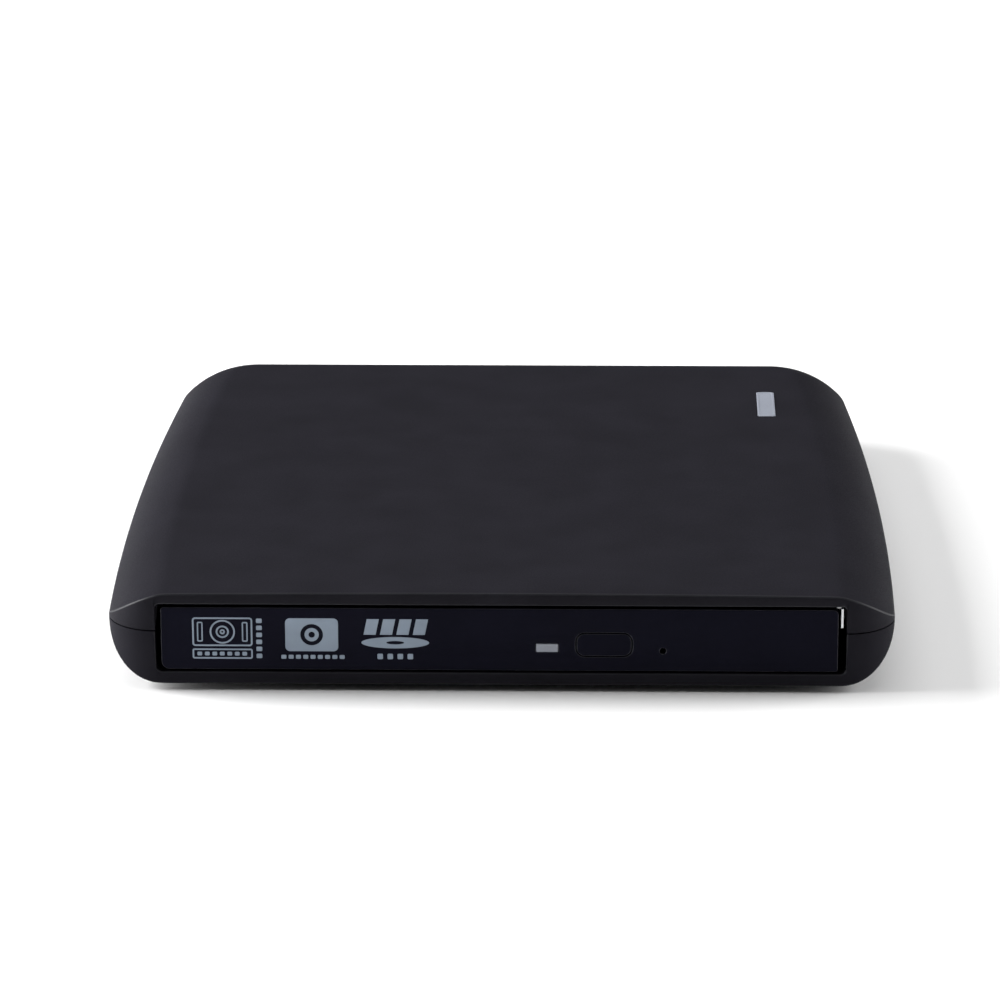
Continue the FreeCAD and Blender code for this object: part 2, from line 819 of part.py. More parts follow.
def tray():
    """Moulded tray: disc recess above, side skirts with tongues that run in the rails."""
    upper = box(-tray_half_width, tray_half_width, tray_front, tray_rear, 10.6, tray_top)
    plate = box(-tray_waist, tray_waist, tray_front, tray_rear, plate_bottom, 11.0)
    front = box(-tray_waist, tray_waist, tray_front, tray_front + 1.5, tray_bottom, 11.0)
    rib = box(-tray_waist, -48.0, 6.0, 7.2, 6.4, rib_high)
    cross = box(30.0, tray_waist, -30.0, -28.8, 8.2, rib_high)
    body = fused([upper, plate, front, rib, cross] + tray_skirt(1) + tray_skirt(-1))
    body = body.cut(fused(tray_hollows()))
    below = pusher_guides() + bush_posts()
    below.append(post(lever_pivot[0], lever_pivot[1], 5.9, rib_high, 1.0))
    body = in_drive(fused([body] + below))
    holes = [in_traverse(traverse_window(0.0, 4.0, recess_floor))]
    for u, v in bush_places:
        holes.append(in_traverse(post(u, v, 8.0, 10.9, bush_screw.shank_radius + 0.02)))
    return body.cut(fused(holes))


# ---------------------------------------------------------------- drive: front

collar_y = bezel_back + 0.1
switch_y = tray_front + 2.6
front_board_top = 6.8


def button_slab(clearance, y0, y1, corner):
    half_x = button_width / 2 + clearance
    half_z = button_height / 2 + clearance
    return slab(
        button_x - half_x, button_x + half_x, y0, y1, button_z - half_z, button_z + half_z, corner, axis=1)


def light_box(clearance, y0, y1):
    half_x = light_width / 2 + clearance
    half_z = light_height / 2 + clearance
    return box(light_x - half_x, light_x + half_x, y0, y1, light_z - half_z, light_z + half_z)


def tray_bezel():
    """Faceplate with its button opening, light opening, emergency hole and two snap hooks."""
    half = bezel_width / 2
    plate = slab(-half, half, bezel_front, bezel_back, bezel_bottom, bezel_top, 0.7, axis=1)
    hooks = [box(x - 2.5, x + 2.5, bezel_back - 0.5, bezel_back + 0.15, 12.0, 14.6) for x in (-50.0, 50.0)]
    y0 = bezel_front - 1.0
    y1 = bezel_back + 1.0
    pinhole = rod(V(pinhole_x, y0, pinhole_z), V(pinhole_x, y1, pinhole_z), pinhole_radius)
    holes = [button_slab(button_gap, y0, y1, button_corner + button_gap), light_box(0.03, y0, y1), pinhole]
    return in_drive(fused([plate] + hooks)).cut(fused(holes))


def eject_button():
    """Cap flush with the faceplate, a collar that keeps it in, and a stem towards the switch."""
    cap = button_slab(0.0, bezel_front, bezel_back + 0.2, button_corner)
    half = button_width / 2 + 1.0
    collar = box(button_x - half, button_x + half, collar_y, collar_y + 0.6, button_z - 2.5, 10.8)
    stem = box(button_x - 1.2, button_x + 1.2, collar_y + 0.4, collar_y + 1.9, 8.4, 10.4)
    return fused([cap, collar, stem])


def bezel_light_pipe():
    return light_box(0.0, bezel_front + 0.02, bezel_back + 1.2)


def front_board():
    return slab(5.0, 35.0, tray_front + 1.2, tray_front + 9.0, front_board_top - 0.8, front_board_top, 0.8)


def eject_switch():
    body = box(button_x - 3.0, button_x + 3.0, switch_y, switch_y + 3.6, front_board_top, 10.6)
    plunger = box(button_x - 0.9, button_x + 0.9, switch_y - 0.2, switch_y + 0.2, 8.6, 10.0)
    return fused([body, plunger])


def activity_led():
    y = bezel_back + 1.4
    return box(light_x - 0.8, light_x + 0.8, y, y + 1.2, front_board_top, 9.4)


# ---------------------------------------------------------------- drive: traverse

frame_low = 5.5
frame_top = 11.0
frame_half = 19.6
rod_end_u0 = 12.4
rod_end_u1 = 63.3
main_rod_radius = 1.25
side_rod_radius = 1.0
screw_radius = 1.0
lug_low = 6.7
lug_high = 8.5
lug_radius = 4.2
shaft_radius = 1.05
rotor_top = 10.8


def rod_along(v, z, u0, u1, radius):
    """A round bar along the traverse's own u."""
    return rod(V(u0, v, z), V(u1, v, z), radius)


def frame_lug(u, v):
    """An eye outside the frame that carries one bush."""
    way = 1 if v > 0 else -1
    y0, y1 = sorted((way * 19.0, v))
    return [
        post(u, v, lug_low, lug_high, lug_radius),
        box(u - lug_radius, u + lug_radius, y0, y1, lug_low, lug_high)]


def traverse_frame():
    """Frame that carries rods and motors, hung from the tray on three soft bushes."""
    wall_v = 19.4
    room = fused([
        box(-16.0, 56.2, -wall_v, wall_v, 4.0, 12.0),
        box(50.0, 62.5, -13.0, 13.0, 4.0, 12.0)])
    frame = traverse_window(0.4, frame_low, frame_top).cut(room)
    inner_cross = box(12.0, 13.6, -frame_half, frame_half, frame_low, 6.6)
    side_low = box(13.0, 56.4, 13.6, frame_half, frame_low, 6.6)
    rod_blocks = [box(12.0, 14.0, v - 2.2, v + 2.2, frame_low, 9.4) for v in (-rod_v, rod_v)]
    motor_block = box(8.6, 10.6, -frame_half, -13.6, frame_low, 10.4)
    screw_block = box(54.6, 56.4, -frame_half, -13.0, frame_low, 10.4)
    lugs = [piece for u, v in bush_places for piece in frame_lug(u, v)]
    frame = fused([frame, inner_cross, side_low, motor_block, screw_block] + rod_blocks + lugs)
    holes = [
        rod_along(-rod_v, rod_z, 11.0, rod_end_u1 + 0.1, main_rod_radius + 0.02),
        rod_along(rod_v, rod_z, 11.0, rod_end_u1 + 0.1, side_rod_radius + 0.02),
        rod_along(screw_v, screw_z, 8.0, 56.3, screw_radius + 0.1)]
    for u, v in bush_places:
        holes.append(post(u, v, 6.0, 9.0, lug_radius / 2))
    return in_traverse(frame.cut(fused(holes)))


def traverse_cover():
    """Thin steel mask over the traverse, with openings for the turntable and the lens."""
    mask = traverse_window(0.4, frame_top, frame_top + 0.35)
    hole = post(0, 0, 10.0, 12.0, 16.0)
    slot = slab(10.0, 62.4, -7.0, 7.0, 10.0, 12.0, 3.0)
    return in_traverse(mask.cut(fused([hole, slot])))


def traverse_shield():
    """Thin steel plate that closes the traverse below, with two small slots."""
    plate = traverse_window(0.4, frame_low - 0.3, frame_low)
    slots = [slab(u, u + 12.0, -1.5, 1.5, frame_low - 1.0, frame_low + 1.0, 1.4) for u in (18.0, 34.0)]
    return in_traverse(plate.cut(fused(slots)))


def damper_bushes():
    """Soft rings in a waisted shape that sit in the frame's lugs."""
    bushes = []
    for u, v in bush_places:
        waist = post(u, v, 6.3, 8.95, lug_radius / 2 - 0.05)
        flanges = [post(u, v, 6.3, 6.65, 3.0), post(u, v, 8.55, 8.95, 3.0)]
        bushes.append(fused([waist] + flanges).cut(post(u, v, 6.0, 9.2, 0.95)))
    return in_traverse(Part.Compound(bushes))


def traverse_screws():
    return in_traverse(Part.Compound([screw_up(u, v, bush_screw) for u, v in bush_places]))


def spindle_motor():
    """Motor plate across the frame, stator ring and bearing sleeve."""
    plate_top = 6.1
    plate = box(-15.8, 11.8, -12.8, 19.2, frame_low, plate_top)
    stator = tube(0, 0, plate_top, 7.6, 3.0, 9.4)
    sleeve = tube(0, 0, plate_top, 9.6, shaft_radius + 0.05, 2.4)
    return in_traverse(fused([plate, stator, sleeve]))


def spindle_rotor():
    """Rotor cup, open below, on the spindle shaft."""
    cup = post(0, 0, 7.0, rotor_top, 11.0).cut(post(0, 0, 6.0, rotor_top - 0.7, 10.0))
    return in_traverse(fused([cup, post(0, 0, 6.3, 12.2, shaft_radius)]))


pad_low = 12.5
claw_angles = (0.0, 120.0, 240.0)
claw_reach = disc_hole_radius + 0.15
claw_low = 14.27
claw_high = 14.87


def spoke(angle, inner, outer, width, z0, z1):
    """A block that points out from the spindle."""
    block = box(inner, outer, -width / 2, width / 2, z0, z1)
    return block.rotated(V(0, 0, 0), V(0, 0, 1), angle)


def turntable():
    """Disc seat and centring hub, with three pockets for the clamp claws."""
    seat = post(0, 0, rotor_top, disc_seat_z - 0.2, 13.0)
    hub = post(0, 0, 12.0, hub_top, hub_radius)
    cone = Part.makeCone(hub_radius, 6.4, 0.45, V(0, 0, hub_top))
    body = fused([seat, hub, cone]).cut(post(0, 0, 10.0, 12.3, shaft_radius + 0.02))
    pockets = [spoke(angle, 3.6, 9.0, 3.0, claw_low - 0.07, hub_top) for angle in claw_angles]
    pad_groove = tube(0, 0, pad_low, disc_seat_z + 0.5, 8.6, 12.4)
    return in_traverse(body.cut(fused(pockets + [pad_groove])))


def turntable_pad():
    """Rubber ring that grips the disc."""
    return in_traverse(tube(0, 0, pad_low, disc_seat_z, 8.7, 12.3))


def clamp_claw(angle):
    """Sprung claw whose rounded nose reaches past the hub, over the disc's inner edge."""
    round_end = post(0, 0, claw_low, claw_high, claw_reach)
    round_end = round_end.makeChamfer(0.15, [e for e in round_end.Edges if e.BoundBox.ZLength < 0.01])
    return in_traverse(spoke(angle, 4.4, 9.0, 2.6, claw_low, claw_high).common(round_end))


def guide_rod(v, radius):
    return in_traverse(rod_along(v, rod_z, rod_end_u0, rod_end_u1, radius))


def rod_clamps():
    """Small spring plates that hold the rod ends down on the frame."""
    clamps = [box(12.2, 13.8, v - 2.0, v + 2.0, 9.45, 9.75) for v in (-rod_v, rod_v)]
    return in_traverse(Part.Compound(clamps))


def sled_motor():
    can = rod_along(screw_v, screw_z, -6.0, 8.4, 2.55)
    return in_traverse(can.cut(rod_along(screw_v, screw_z, 7.0, 9.0, screw_radius + 0.1)))


def lead_screw():
    """Threaded shaft that drives the pickup."""
    shaft = rod_along(screw_v, screw_z, 7.2, 56.0, screw_radius)
    collar = rod_along(screw_v, screw_z, 11.2, 12.0, 1.6)
    return in_traverse(fused([shaft, collar]))


def pickup_body():
    """Optical pickup: a bearing sleeve on the main rod, a fork on the other rod."""
    u = lens_inner_u
    u0 = u - 7.0
    u1 = u + 4.4
    block = box(u0, u1, -8.4, 8.6, 6.0, 9.9)
    arm = box(u0, u1, 8.0, 9.8, 6.6, 8.6)
    fork = [box(u - 3.0, u + 3.0, 8.4, 12.2, z0, z1) for z0, z1 in ((8.7, 9.6), (5.7, 6.5))]
    sleeve = rod_along(-rod_v, rod_z, u0, u1, 2.1)
    neck = box(u0, u1, -rod_v, -8.0, 6.4, 8.8)
    well = box(u - 3.9, u + 3.9, -4.9, 4.9, 8.4, 11.0)
    bore = rod_along(-rod_v, rod_z, u - 9.0, u + 9.0, main_rod_radius + 0.05)
    groove = rod_along(rod_v, rod_z, u - 9.0, u + 9.0, side_rod_radius + 0.06)
    body = fused([block, arm, sleeve, neck] + fork)
    return in_traverse(body.cut(fused([well, bore, groove])))


def rack_nut():
    """Half nut on an arm, riding on the lead screw."""
    u0 = lens_inner_u - 7.0
    u1 = lens_inner_u - 3.3
    block = box(u0, u1, screw_v - 1.9, screw_v + 1.9, 6.6, 9.9)
    arm = box(u0, u1, screw_v, -12.72, 7.0, 8.2)
    bore = rod_along(screw_v, screw_z, u0 - 2.0, u1 + 2.0, screw_radius + 0.06)
    return in_traverse(fused([block, arm]).cut(bore))


def objective_lens():
    """Lens in its small holder, floating in the pickup's well."""
    u = lens_inner_u
    lens_top = 11.9
    ball_radius = 4.6
    holder = slab(u - 3.3, u + 3.3, -4.2, 4.2, 9.1, 10.5, 1.0)
    barrel = post(u, 0, 10.0, 11.2, 2.6)
    ball = Part.makeSphere(ball_radius, V(u, 0, lens_top - ball_radius))
    return in_traverse(fused([holder, barrel, ball.common(post(u, 0, 10.9, 12.0, 2.1))]))


# ---------------------------------------------------------------- drive: latch and eject

lever_low = 6.6
lever_high = 7.9


def latch_solenoid():
    return in_drive(slab(30.0, 42.0, -20.0, -10.0, 5.6, 9.7, 1.0))


def latch_lever():
    """Lever on the tray whose hook stands behind the pan's post while the tray is shut."""
    x, y = lever_pivot
    hub = post(x, y, lever_low, lever_high, 2.6)
    arm = box(x - 1.2, x + 1.6, y, latch_post_y + 3.2, lever_low, lever_high)
    hook = box(latch_post_x - 1.0, x + 1.6, latch_post_y + 1.5, latch_post_y + 3.6, lever_low, lever_high)
    return in_drive(fused([hub, arm, hook]).cut(post(x, y, 6.0, 9.0, 1.05)))


def eject_pusher():
    """Sliding block that the spring drives against the pan's rear wall."""
    bar = box(pusher_x - pusher_half, pusher_x + pusher_half, pusher_y0, pusher_y1, pusher_z0, pusher_z1)
    nose = [e for e in bar.Edges if e.BoundBox.YMin > pusher_y1 - 0.1 and e.BoundBox.ZLength > 1.0]
    return in_drive(bar.makeFillet(1.2, nose))


def eject_spring():
    """Outer shape of the coil spring between the tray's stop and the pusher."""
    z = (pusher_z0 + pusher_z1) / 2
    coil = rod(V(pusher_x, spring_stop_y + 0.1, z), V(pusher_x, pusher_y0 - 0.1, z), 1.3)
    return in_drive(coil.cut(rod(V(pusher_x, spring_stop_y - 0.6, z), V(pusher_x, pusher_y0, z), 0.9)))


# ---------------------------------------------------------------- export

nodes = {
    "top_shell": top_shell(),
    "bottom_shell": bottom_shell(),
    "status_window": status_window(),
    "rubber_feet": rubber_feet(),
    "case_screws": case_screws(),
    "drive_mount_screws": drive_mount_screws(),
    "board_screws": board_screws(),
    "bridge_board": bridge_board(),
    "bridge_chip": bridge_chip(),
    "bridge_crystal": bridge_crystal(),
    "bridge_capacitors": bridge_capacitors(),
    "status_led": status_led(),
    "sata_connector": sata_connector(),
    "usb_socket_shell": usb_socket_shell(),
    "usb_socket_tongue": usb_socket_tongue(),
    "dc_jack_body": dc_jack_body(),
    "dc_jack_pin": dc_jack_pin(),
    "chassis_base": drilled_for_cover_screws(chassis_base()),
    "chassis_cover": drilled_for_cover_screws(chassis_cover()),
    "cover_screws": cover_screws(),
    "right_guide": rail_guide(1),
    "left_guide": rail_guide(-1),
    "right_rail": tray_rail(1),
    "left_rail": tray_rail(-1),
    "main_board": main_board(),
    "drive_chip": drive_chip(),
    "drive_connector": drive_connector(),
    "latch_post": latch_post(),
    "flex_cable": flex_cable(),
    "tray": tray(),
    "tray_bezel": tray_bezel(),
    "eject_button": eject_button(),
    "bezel_light_pipe": bezel_light_pipe(),
    "front_board": front_board(),
    "eject_switch": eject_switch(),
    "activity_led": activity_led(),
    "traverse_frame": traverse_frame(),
    "traverse_cover": traverse_cover(),
    "traverse_shield": traverse_shield(),
    "damper_bushes": damper_bushes(),
    "traverse_screws": traverse_screws(),
    "spindle_motor": spindle_motor(),
    "spindle_rotor": spindle_rotor(),
    "turntable": turntable(),
    "turntable_pad": turntable_pad(),
    "clamp_claw_a": clamp_claw(claw_angles[0]),
    "clamp_claw_b": clamp_claw(claw_angles[1]),
    "clamp_claw_c": clamp_claw(claw_angles[2]),
    "main_rod": guide_rod(-rod_v, main_rod_radius),
    "side_rod": guide_rod(rod_v, side_rod_radius),
    "rod_clamps": rod_clamps(),
    "sled_motor": sled_motor(),
    "lead_screw": lead_screw(),
    "pickup_body": pickup_body(),
    "rack_nut": rack_nut(),
    "objective_lens": objective_lens(),
    "latch_solenoid": latch_solenoid(),
    "latch_lever": latch_lever(),
    "eject_pusher": eject_pusher(),
    "eject_spring": eject_spring(),
}

os.makedirs("parts", exist_ok=True)
for name, shape in nodes.items():
    shape.exportStep("parts/" + name + ".step")
    solids = len(shape.Solids)
    print(name, "solids", solids, "valid", shape.isValid(), "volume", round(shape.Volume, 2))
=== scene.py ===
import bmesh
import bpy
import json
import math
from mathutils import Matrix, Vector


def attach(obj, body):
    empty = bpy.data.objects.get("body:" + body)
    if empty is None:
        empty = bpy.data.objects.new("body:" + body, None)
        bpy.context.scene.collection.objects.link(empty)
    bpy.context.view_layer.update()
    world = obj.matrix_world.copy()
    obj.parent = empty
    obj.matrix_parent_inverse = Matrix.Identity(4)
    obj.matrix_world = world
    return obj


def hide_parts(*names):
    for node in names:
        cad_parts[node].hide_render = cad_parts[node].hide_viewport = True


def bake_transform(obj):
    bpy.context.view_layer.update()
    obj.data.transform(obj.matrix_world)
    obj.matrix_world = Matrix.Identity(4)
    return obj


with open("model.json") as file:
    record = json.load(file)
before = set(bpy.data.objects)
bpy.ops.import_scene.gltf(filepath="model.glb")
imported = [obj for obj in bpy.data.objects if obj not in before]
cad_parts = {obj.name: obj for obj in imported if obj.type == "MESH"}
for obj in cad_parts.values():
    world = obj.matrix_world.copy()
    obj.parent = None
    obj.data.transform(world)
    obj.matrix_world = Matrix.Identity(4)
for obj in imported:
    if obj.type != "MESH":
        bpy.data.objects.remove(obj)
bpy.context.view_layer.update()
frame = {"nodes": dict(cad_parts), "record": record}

# External optical drive. The lists and sizes below are in millimetres; MM turns them into metres.
MM = 0.001

# ---- case outline and wall profile, as the CAD shells have them, but the opening's top is 0.35 higher
HALF_WIDTH = 75.06
FRONT_Y = -74.0
REAR_Y = 74.0
WIDEST_Y = -41.5
SIDE_RADIUS = 1025.0
REAR_CORNER_RADIUS = 16.0
FRONT_CORNER_RADIUS = 9.4
GROUND_GAP = 1.3
LOWER_RIM_Z = 11.85
UPPER_RIM_Z = 12.13
ROOF_Z = 19.44
CROWN = 0.38
WALL = 1.8
OPENING_HALF = 65.33
OPENING_LOW = 3.77
OPENING_HIGH = 17.35

# ---- front pieces; a tuple gives the middle's x and z, then the width and height or the radius
BEZEL_LEFT = -64.26
BEZEL_RIGHT = 63.74
BEZEL_LOW = 4.2
BEZEL_HIGH = 16.7
BEZEL_FRONT = FRONT_Y + 0.2
BEZEL_BACK = BEZEL_FRONT + 2.2
BUTTON = (19.56, 9.46, 10.4, 4.5)
BUTTON_GAP = 0.2
COLLAR_TOP = 10.8
COLLAR_DROP = 2.5
COLLAR_REACH = 1.0
STEM = (19.56, 9.4, 2.4, 2.0)
LIGHT = (8.8, 8.82, 4.14, 1.66)
PINHOLE = (30.68, 8.28, 0.6)

# ---- status window: the middle's x and y, width and length; how far its ends bow out, and how round
WINDOW = (52.8, 38.4, 3.65, 15.5)
WINDOW_BOW = 0.55
WINDOW_BEND = 0.92
WINDOW_BASE = 17.2


# ---------------------------------------------------------------- materials

def new_material(name):
    material = bpy.data.materials.new(name)
    material.use_nodes = True
    return material, material.node_tree.nodes, material.node_tree.links


def noise(nodes, links, coords, scale, detail=3.0, stretch=None):
    """A noise texture whose scale is in cycles per metre."""
    source = coords
    if stretch:
        mapping = nodes.new("ShaderNodeMapping")
        mapping.inputs["Scale"].default_value = stretch
        links.new(coords, mapping.inputs["Vector"])
        source = mapping.outputs["Vector"]
    texture = nodes.new("ShaderNodeTexNoise")
    texture.inputs["Scale"].default_value = scale
    texture.inputs["Detail"].default_value = detail
    links.new(source, texture.inputs["Vector"])
    return texture.outputs["Fac"]


def ranged(nodes, links, value, low, high, start=0.3, end=0.7):
    ramp = nodes.new("ShaderNodeMapRange")
    ramp.inputs["From Min"].default_value = start
    ramp.inputs["From Max"].default_value = end
    ramp.inputs["To Min"].default_value = low
    ramp.inputs["To Max"].default_value = high
    links.new(value, ramp.inputs["Value"])
    return ramp.outputs["Result"]


# the mix node has one set of sockets per data type; these are the colour ones
MIX_FIRST = 6
MIX_SECOND = 7
MIX_RESULT = 2


def mixed(nodes, links, factor, first, second):
    mix = nodes.new("ShaderNodeMix")
    mix.data_type = "RGBA"
    mix.inputs[MIX_FIRST].default_value = (*first, 1.0)
    mix.inputs[MIX_SECOND].default_value = (*second, 1.0)
    links.new(factor, mix.inputs["Factor"])
    return mix.outputs[MIX_RESULT]


def surface(name, colour, rough, metal=0.0, specular=0.5, spread=0.12, rough_spread=0.08, blotch=90.0,
            grain=9000.0, bump=0.02, depth=0.00002, stretch=None, coat=0.0):
    """A moulded, rubbed or rolled surface: cloudy colour, uneven gloss and a fine grain in the bump."""
    material, nodes, links = new_material(name)
    shader = nodes["Principled BSDF"]
    coords = nodes.new("ShaderNodeTexCoord").outputs["Object"]
    cloud = noise(nodes, links, coords, blotch)
    fine = noise(nodes, links, coords, grain, 2.0, stretch)
    darker = [c * (1 - spread) for c in colour]
    lighter = [min(1.0, c * (1 + spread)) for c in colour]
    colours = mixed(nodes, links, ranged(nodes, links, cloud, 0.0, 1.0), darker, lighter)
    links.new(colours, shader.inputs["Base Color"])
    gloss = ranged(nodes, links, fine, rough - rough_spread, rough + rough_spread)
    links.new(gloss, shader.inputs["Roughness"])
    relief = nodes.new("ShaderNodeBump")
    relief.inputs["Strength"].default_value = bump
    relief.inputs["Distance"].default_value = depth
    links.new(fine, relief.inputs["Height"])
    links.new(relief.outputs["Normal"], shader.inputs["Normal"])
    shader.inputs["Metallic"].default_value = metal
    shader.inputs["Specular IOR Level"].default_value = specular
    shader.inputs["Coat Weight"].default_value = coat
    shader.inputs["Coat Roughness"].default_value = 0.2
    return material


def board_surface(name):
    """Green solder mask over copper tracks, which show as a lighter pattern."""
    material, nodes, links = new_material(name)
    shader = nodes["Principled BSDF"]
    coords = nodes.new("ShaderNodeTexCoord").outputs["Object"]
    brick = nodes.new("ShaderNodeTexBrick")
    brick.inputs["Scale"].default_value = 260.0
    brick.inputs["Mortar Size"].default_value = 0.06
    brick.inputs["Color1"].default_value = (0.008, 0.11, 0.045, 1.0)
    brick.inputs["Color2"].default_value = (0.01, 0.15, 0.06, 1.0)
    brick.inputs["Mortar"].default_value = (0.03, 0.26, 0.10, 1.0)
    links.new(coords, brick.inputs["Vector"])
    links.new(brick.outputs["Color"], shader.inputs["Base Color"])
    fine = noise(nodes, links, coords, 1200.0)
    links.new(ranged(nodes, links, fine, 0.25, 0.4), shader.inputs["Roughness"])
    relief = nodes.new("ShaderNodeBump")
    relief.inputs["Strength"].default_value = 0.3
    relief.inputs["Distance"].default_value = 0.00004
    links.new(brick.outputs["Fac"], relief.inputs["Height"])
    links.new(relief.outputs["Normal"], shader.inputs["Normal"])
    return material


def brushed(name, colour, rough, grain=1500.0):
    return surface(
        name, colour, rough, metal=1.0, spread=0.05, rough_spread=0.05, blotch=160.0, grain=2.5 * grain,
        bump=0.015, depth=0.00001, stretch=(1.0, 0.04, 1.0))


looks = {
    "shell_upper": surface(
        "upper_plastic", (0.0128, 0.0122, 0.0163), 0.62, specular=0.06, spread=0.10, rough_spread=0.06,
        grain=3800.0, bump=0.35, depth=0.00003),
    "shell_lower": surface(
        "lower_plastic", (0.0118, 0.0112, 0.0153), 0.62, specular=0.05, spread=0.10, rough_spread=0.06,
        grain=3800.0, bump=0.35, depth=0.00003),
    "bezel": surface(
        "bezel_plastic", (0.0058, 0.0058, 0.0122), 0.42, specular=0.025, spread=0.08, grain=5200.0,
        bump=0.22, depth=0.00002),
    "window": surface(
        "window_plastic", (0.27, 0.29, 0.34), 0.38, spread=0.05, grain=2500.0, bump=0.05, coat=0.2),
    "foot_rubber": surface("foot_rubber", (0.02, 0.02, 0.02), 0.85, specular=0.3, grain=3000.0, bump=0.4),
    "screw_black": surface("screw_black", (0.03, 0.03, 0.032), 0.38, metal=0.8, grain=2500.0, bump=0.15),
    "screw_steel": brushed("screw_steel", (0.55, 0.55, 0.56), 0.32, 2600.0),
    "board_green": board_surface("board_green"),
    "chip": surface("chip_epoxy", (0.018, 0.018, 0.019), 0.6, grain=4200.0, bump=0.3),
    "metal_can": brushed("metal_can", (0.72, 0.72, 0.73), 0.3, 2200.0),
    "connector_black": surface("connector_black", (0.022, 0.022, 0.023), 0.45, grain=3000.0, bump=0.12),
    "socket_steel": brushed("socket_steel", (0.62, 0.61, 0.59), 0.28, 2200.0),
    "pin_brass": brushed("pin_brass", (0.78, 0.60, 0.28), 0.25, 2600.0),
    "pan_steel": brushed("pan_steel", (0.56, 0.57, 0.58), 0.36, 900.0),
    "guide_plastic": surface("guide_plastic", (0.05, 0.05, 0.052), 0.5, grain=2600.0, bump=0.15),
    "flex": surface(
        "flex_laminate", (0.62, 0.60, 0.54), 0.35, grain=1500.0, bump=0.1, stretch=(1.0, 0.02, 1.0)),
    "tray_plastic": surface(
        "tray_plastic", (0.010, 0.010, 0.011), 0.5, specular=0.28, grain=4200.0, bump=0.25),
    "frame_plastic": surface("frame_plastic", (0.03, 0.03, 0.033), 0.5, grain=2600.0, bump=0.2),
    "mask_metal": surface("mask_metal", (0.03, 0.03, 0.032), 0.42, metal=0.5, grain=2000.0, bump=0.12),
    "damper_rubber": surface("damper_rubber", (0.03, 0.03, 0.03), 0.8, grain=2600.0, bump=0.3),
    "motor_metal": brushed("motor_metal", (0.60, 0.60, 0.61), 0.3, 1800.0),
    "rod_steel": brushed("rod_steel", (0.75, 0.75, 0.76), 0.14, 3000.0),
    "spring_steel": brushed("spring_steel", (0.55, 0.55, 0.55), 0.3, 3000.0),
    "rail_plastic": surface("rail_plastic", (0.06, 0.06, 0.065), 0.42, grain=2600.0, bump=0.12),
    "turntable_plastic": surface("turntable_plastic", (0.022, 0.022, 0.023), 0.42, grain=3000.0, bump=0.12),
    "claw_plastic": surface("claw_plastic", (0.70, 0.70, 0.66), 0.4, grain=2600.0, bump=0.1),
    "pickup_metal": brushed("pickup_metal", (0.42, 0.42, 0.43), 0.4, 1500.0),
    "lens_glass": surface(
        "lens_glass", (0.05, 0.07, 0.16), 0.06, spread=0.05, rough_spread=0.03, grain=900.0, bump=0.01,
        coat=0.8),
}
# the creases' rounded faces: more gloss, and a lighter colour that is a painted highlight along the creases
shell_crease_painted_highlight = surface("shell_crease_painted_highlight", (0.014, 0.014, 0.018), 0.45, specular=0.2, grain=3800.0, bump=0.1)
# the faceplate's and button's rounded edges: more gloss, and a much lighter colour that is a painted
# highlight along the edges
bezel_edge_painted_highlight = surface("bezel_edge_painted_highlight", (0.024, 0.024, 0.032), 0.36, specular=0.4, grain=5200.0, bump=0.1)
print_ink = surface("print_ink", (0.26, 0.32, 0.40), 0.55, spread=0.12, grain=6000.0, bump=0.2)

slot_of = {part["node"]: part["material_slot"] for part in frame["record"]["subparts"]}
for node, obj in frame["nodes"].items():
    for holder in obj.material_slots:
        holder.material = looks[slot_of[node]]


# ---------------------------------------------------------------- mesh helpers

WELD_DISTANCE = 1e-7


def weld(mesh):
    """Merges doubled points and turns every face outward."""
    work = bmesh.new()
    work.from_mesh(mesh)
    bmesh.ops.remove_doubles(work, verts=work.verts, dist=WELD_DISTANCE)
    bmesh.ops.recalc_face_normals(work, faces=work.faces)
    work.to_mesh(mesh)
    work.free()


def placed(name, data):
    obj = bpy.data.objects.new(name, data)
    bpy.context.scene.collection.objects.link(obj)
    return obj


def make_object(name, points, faces, material):
    """A mesh from points in millimetres."""
    mesh = bpy.data.meshes.new(name)
    mesh.from_pydata([Vector(p) * MM for p in points], [], faces)
    mesh.materials.append(material)
    weld(mesh)
    return placed(name, mesh)


def apply_modifiers(obj):
    graph = bpy.context.evaluated_depsgraph_get()
    mesh = bpy.data.meshes.new_from_object(obj.evaluated_get(graph))
    obj.modifiers.clear()
    obj.data = mesh


def smooth(obj, angle=35.0):
    for face in obj.data.polygons:
        face.use_smooth = True
    obj.data.set_sharp_from_angle(angle=math.radians(angle))


def finish_piece(obj, body, slot, *nodes):
    smooth(obj)
    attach(obj, body)
    if nodes:
        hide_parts(*nodes)


# a rounded edge's faces lean between those of the plate's sides and those of its flat faces
SIDE_LEAN = 0.15
FACE_LEAN = 0.97


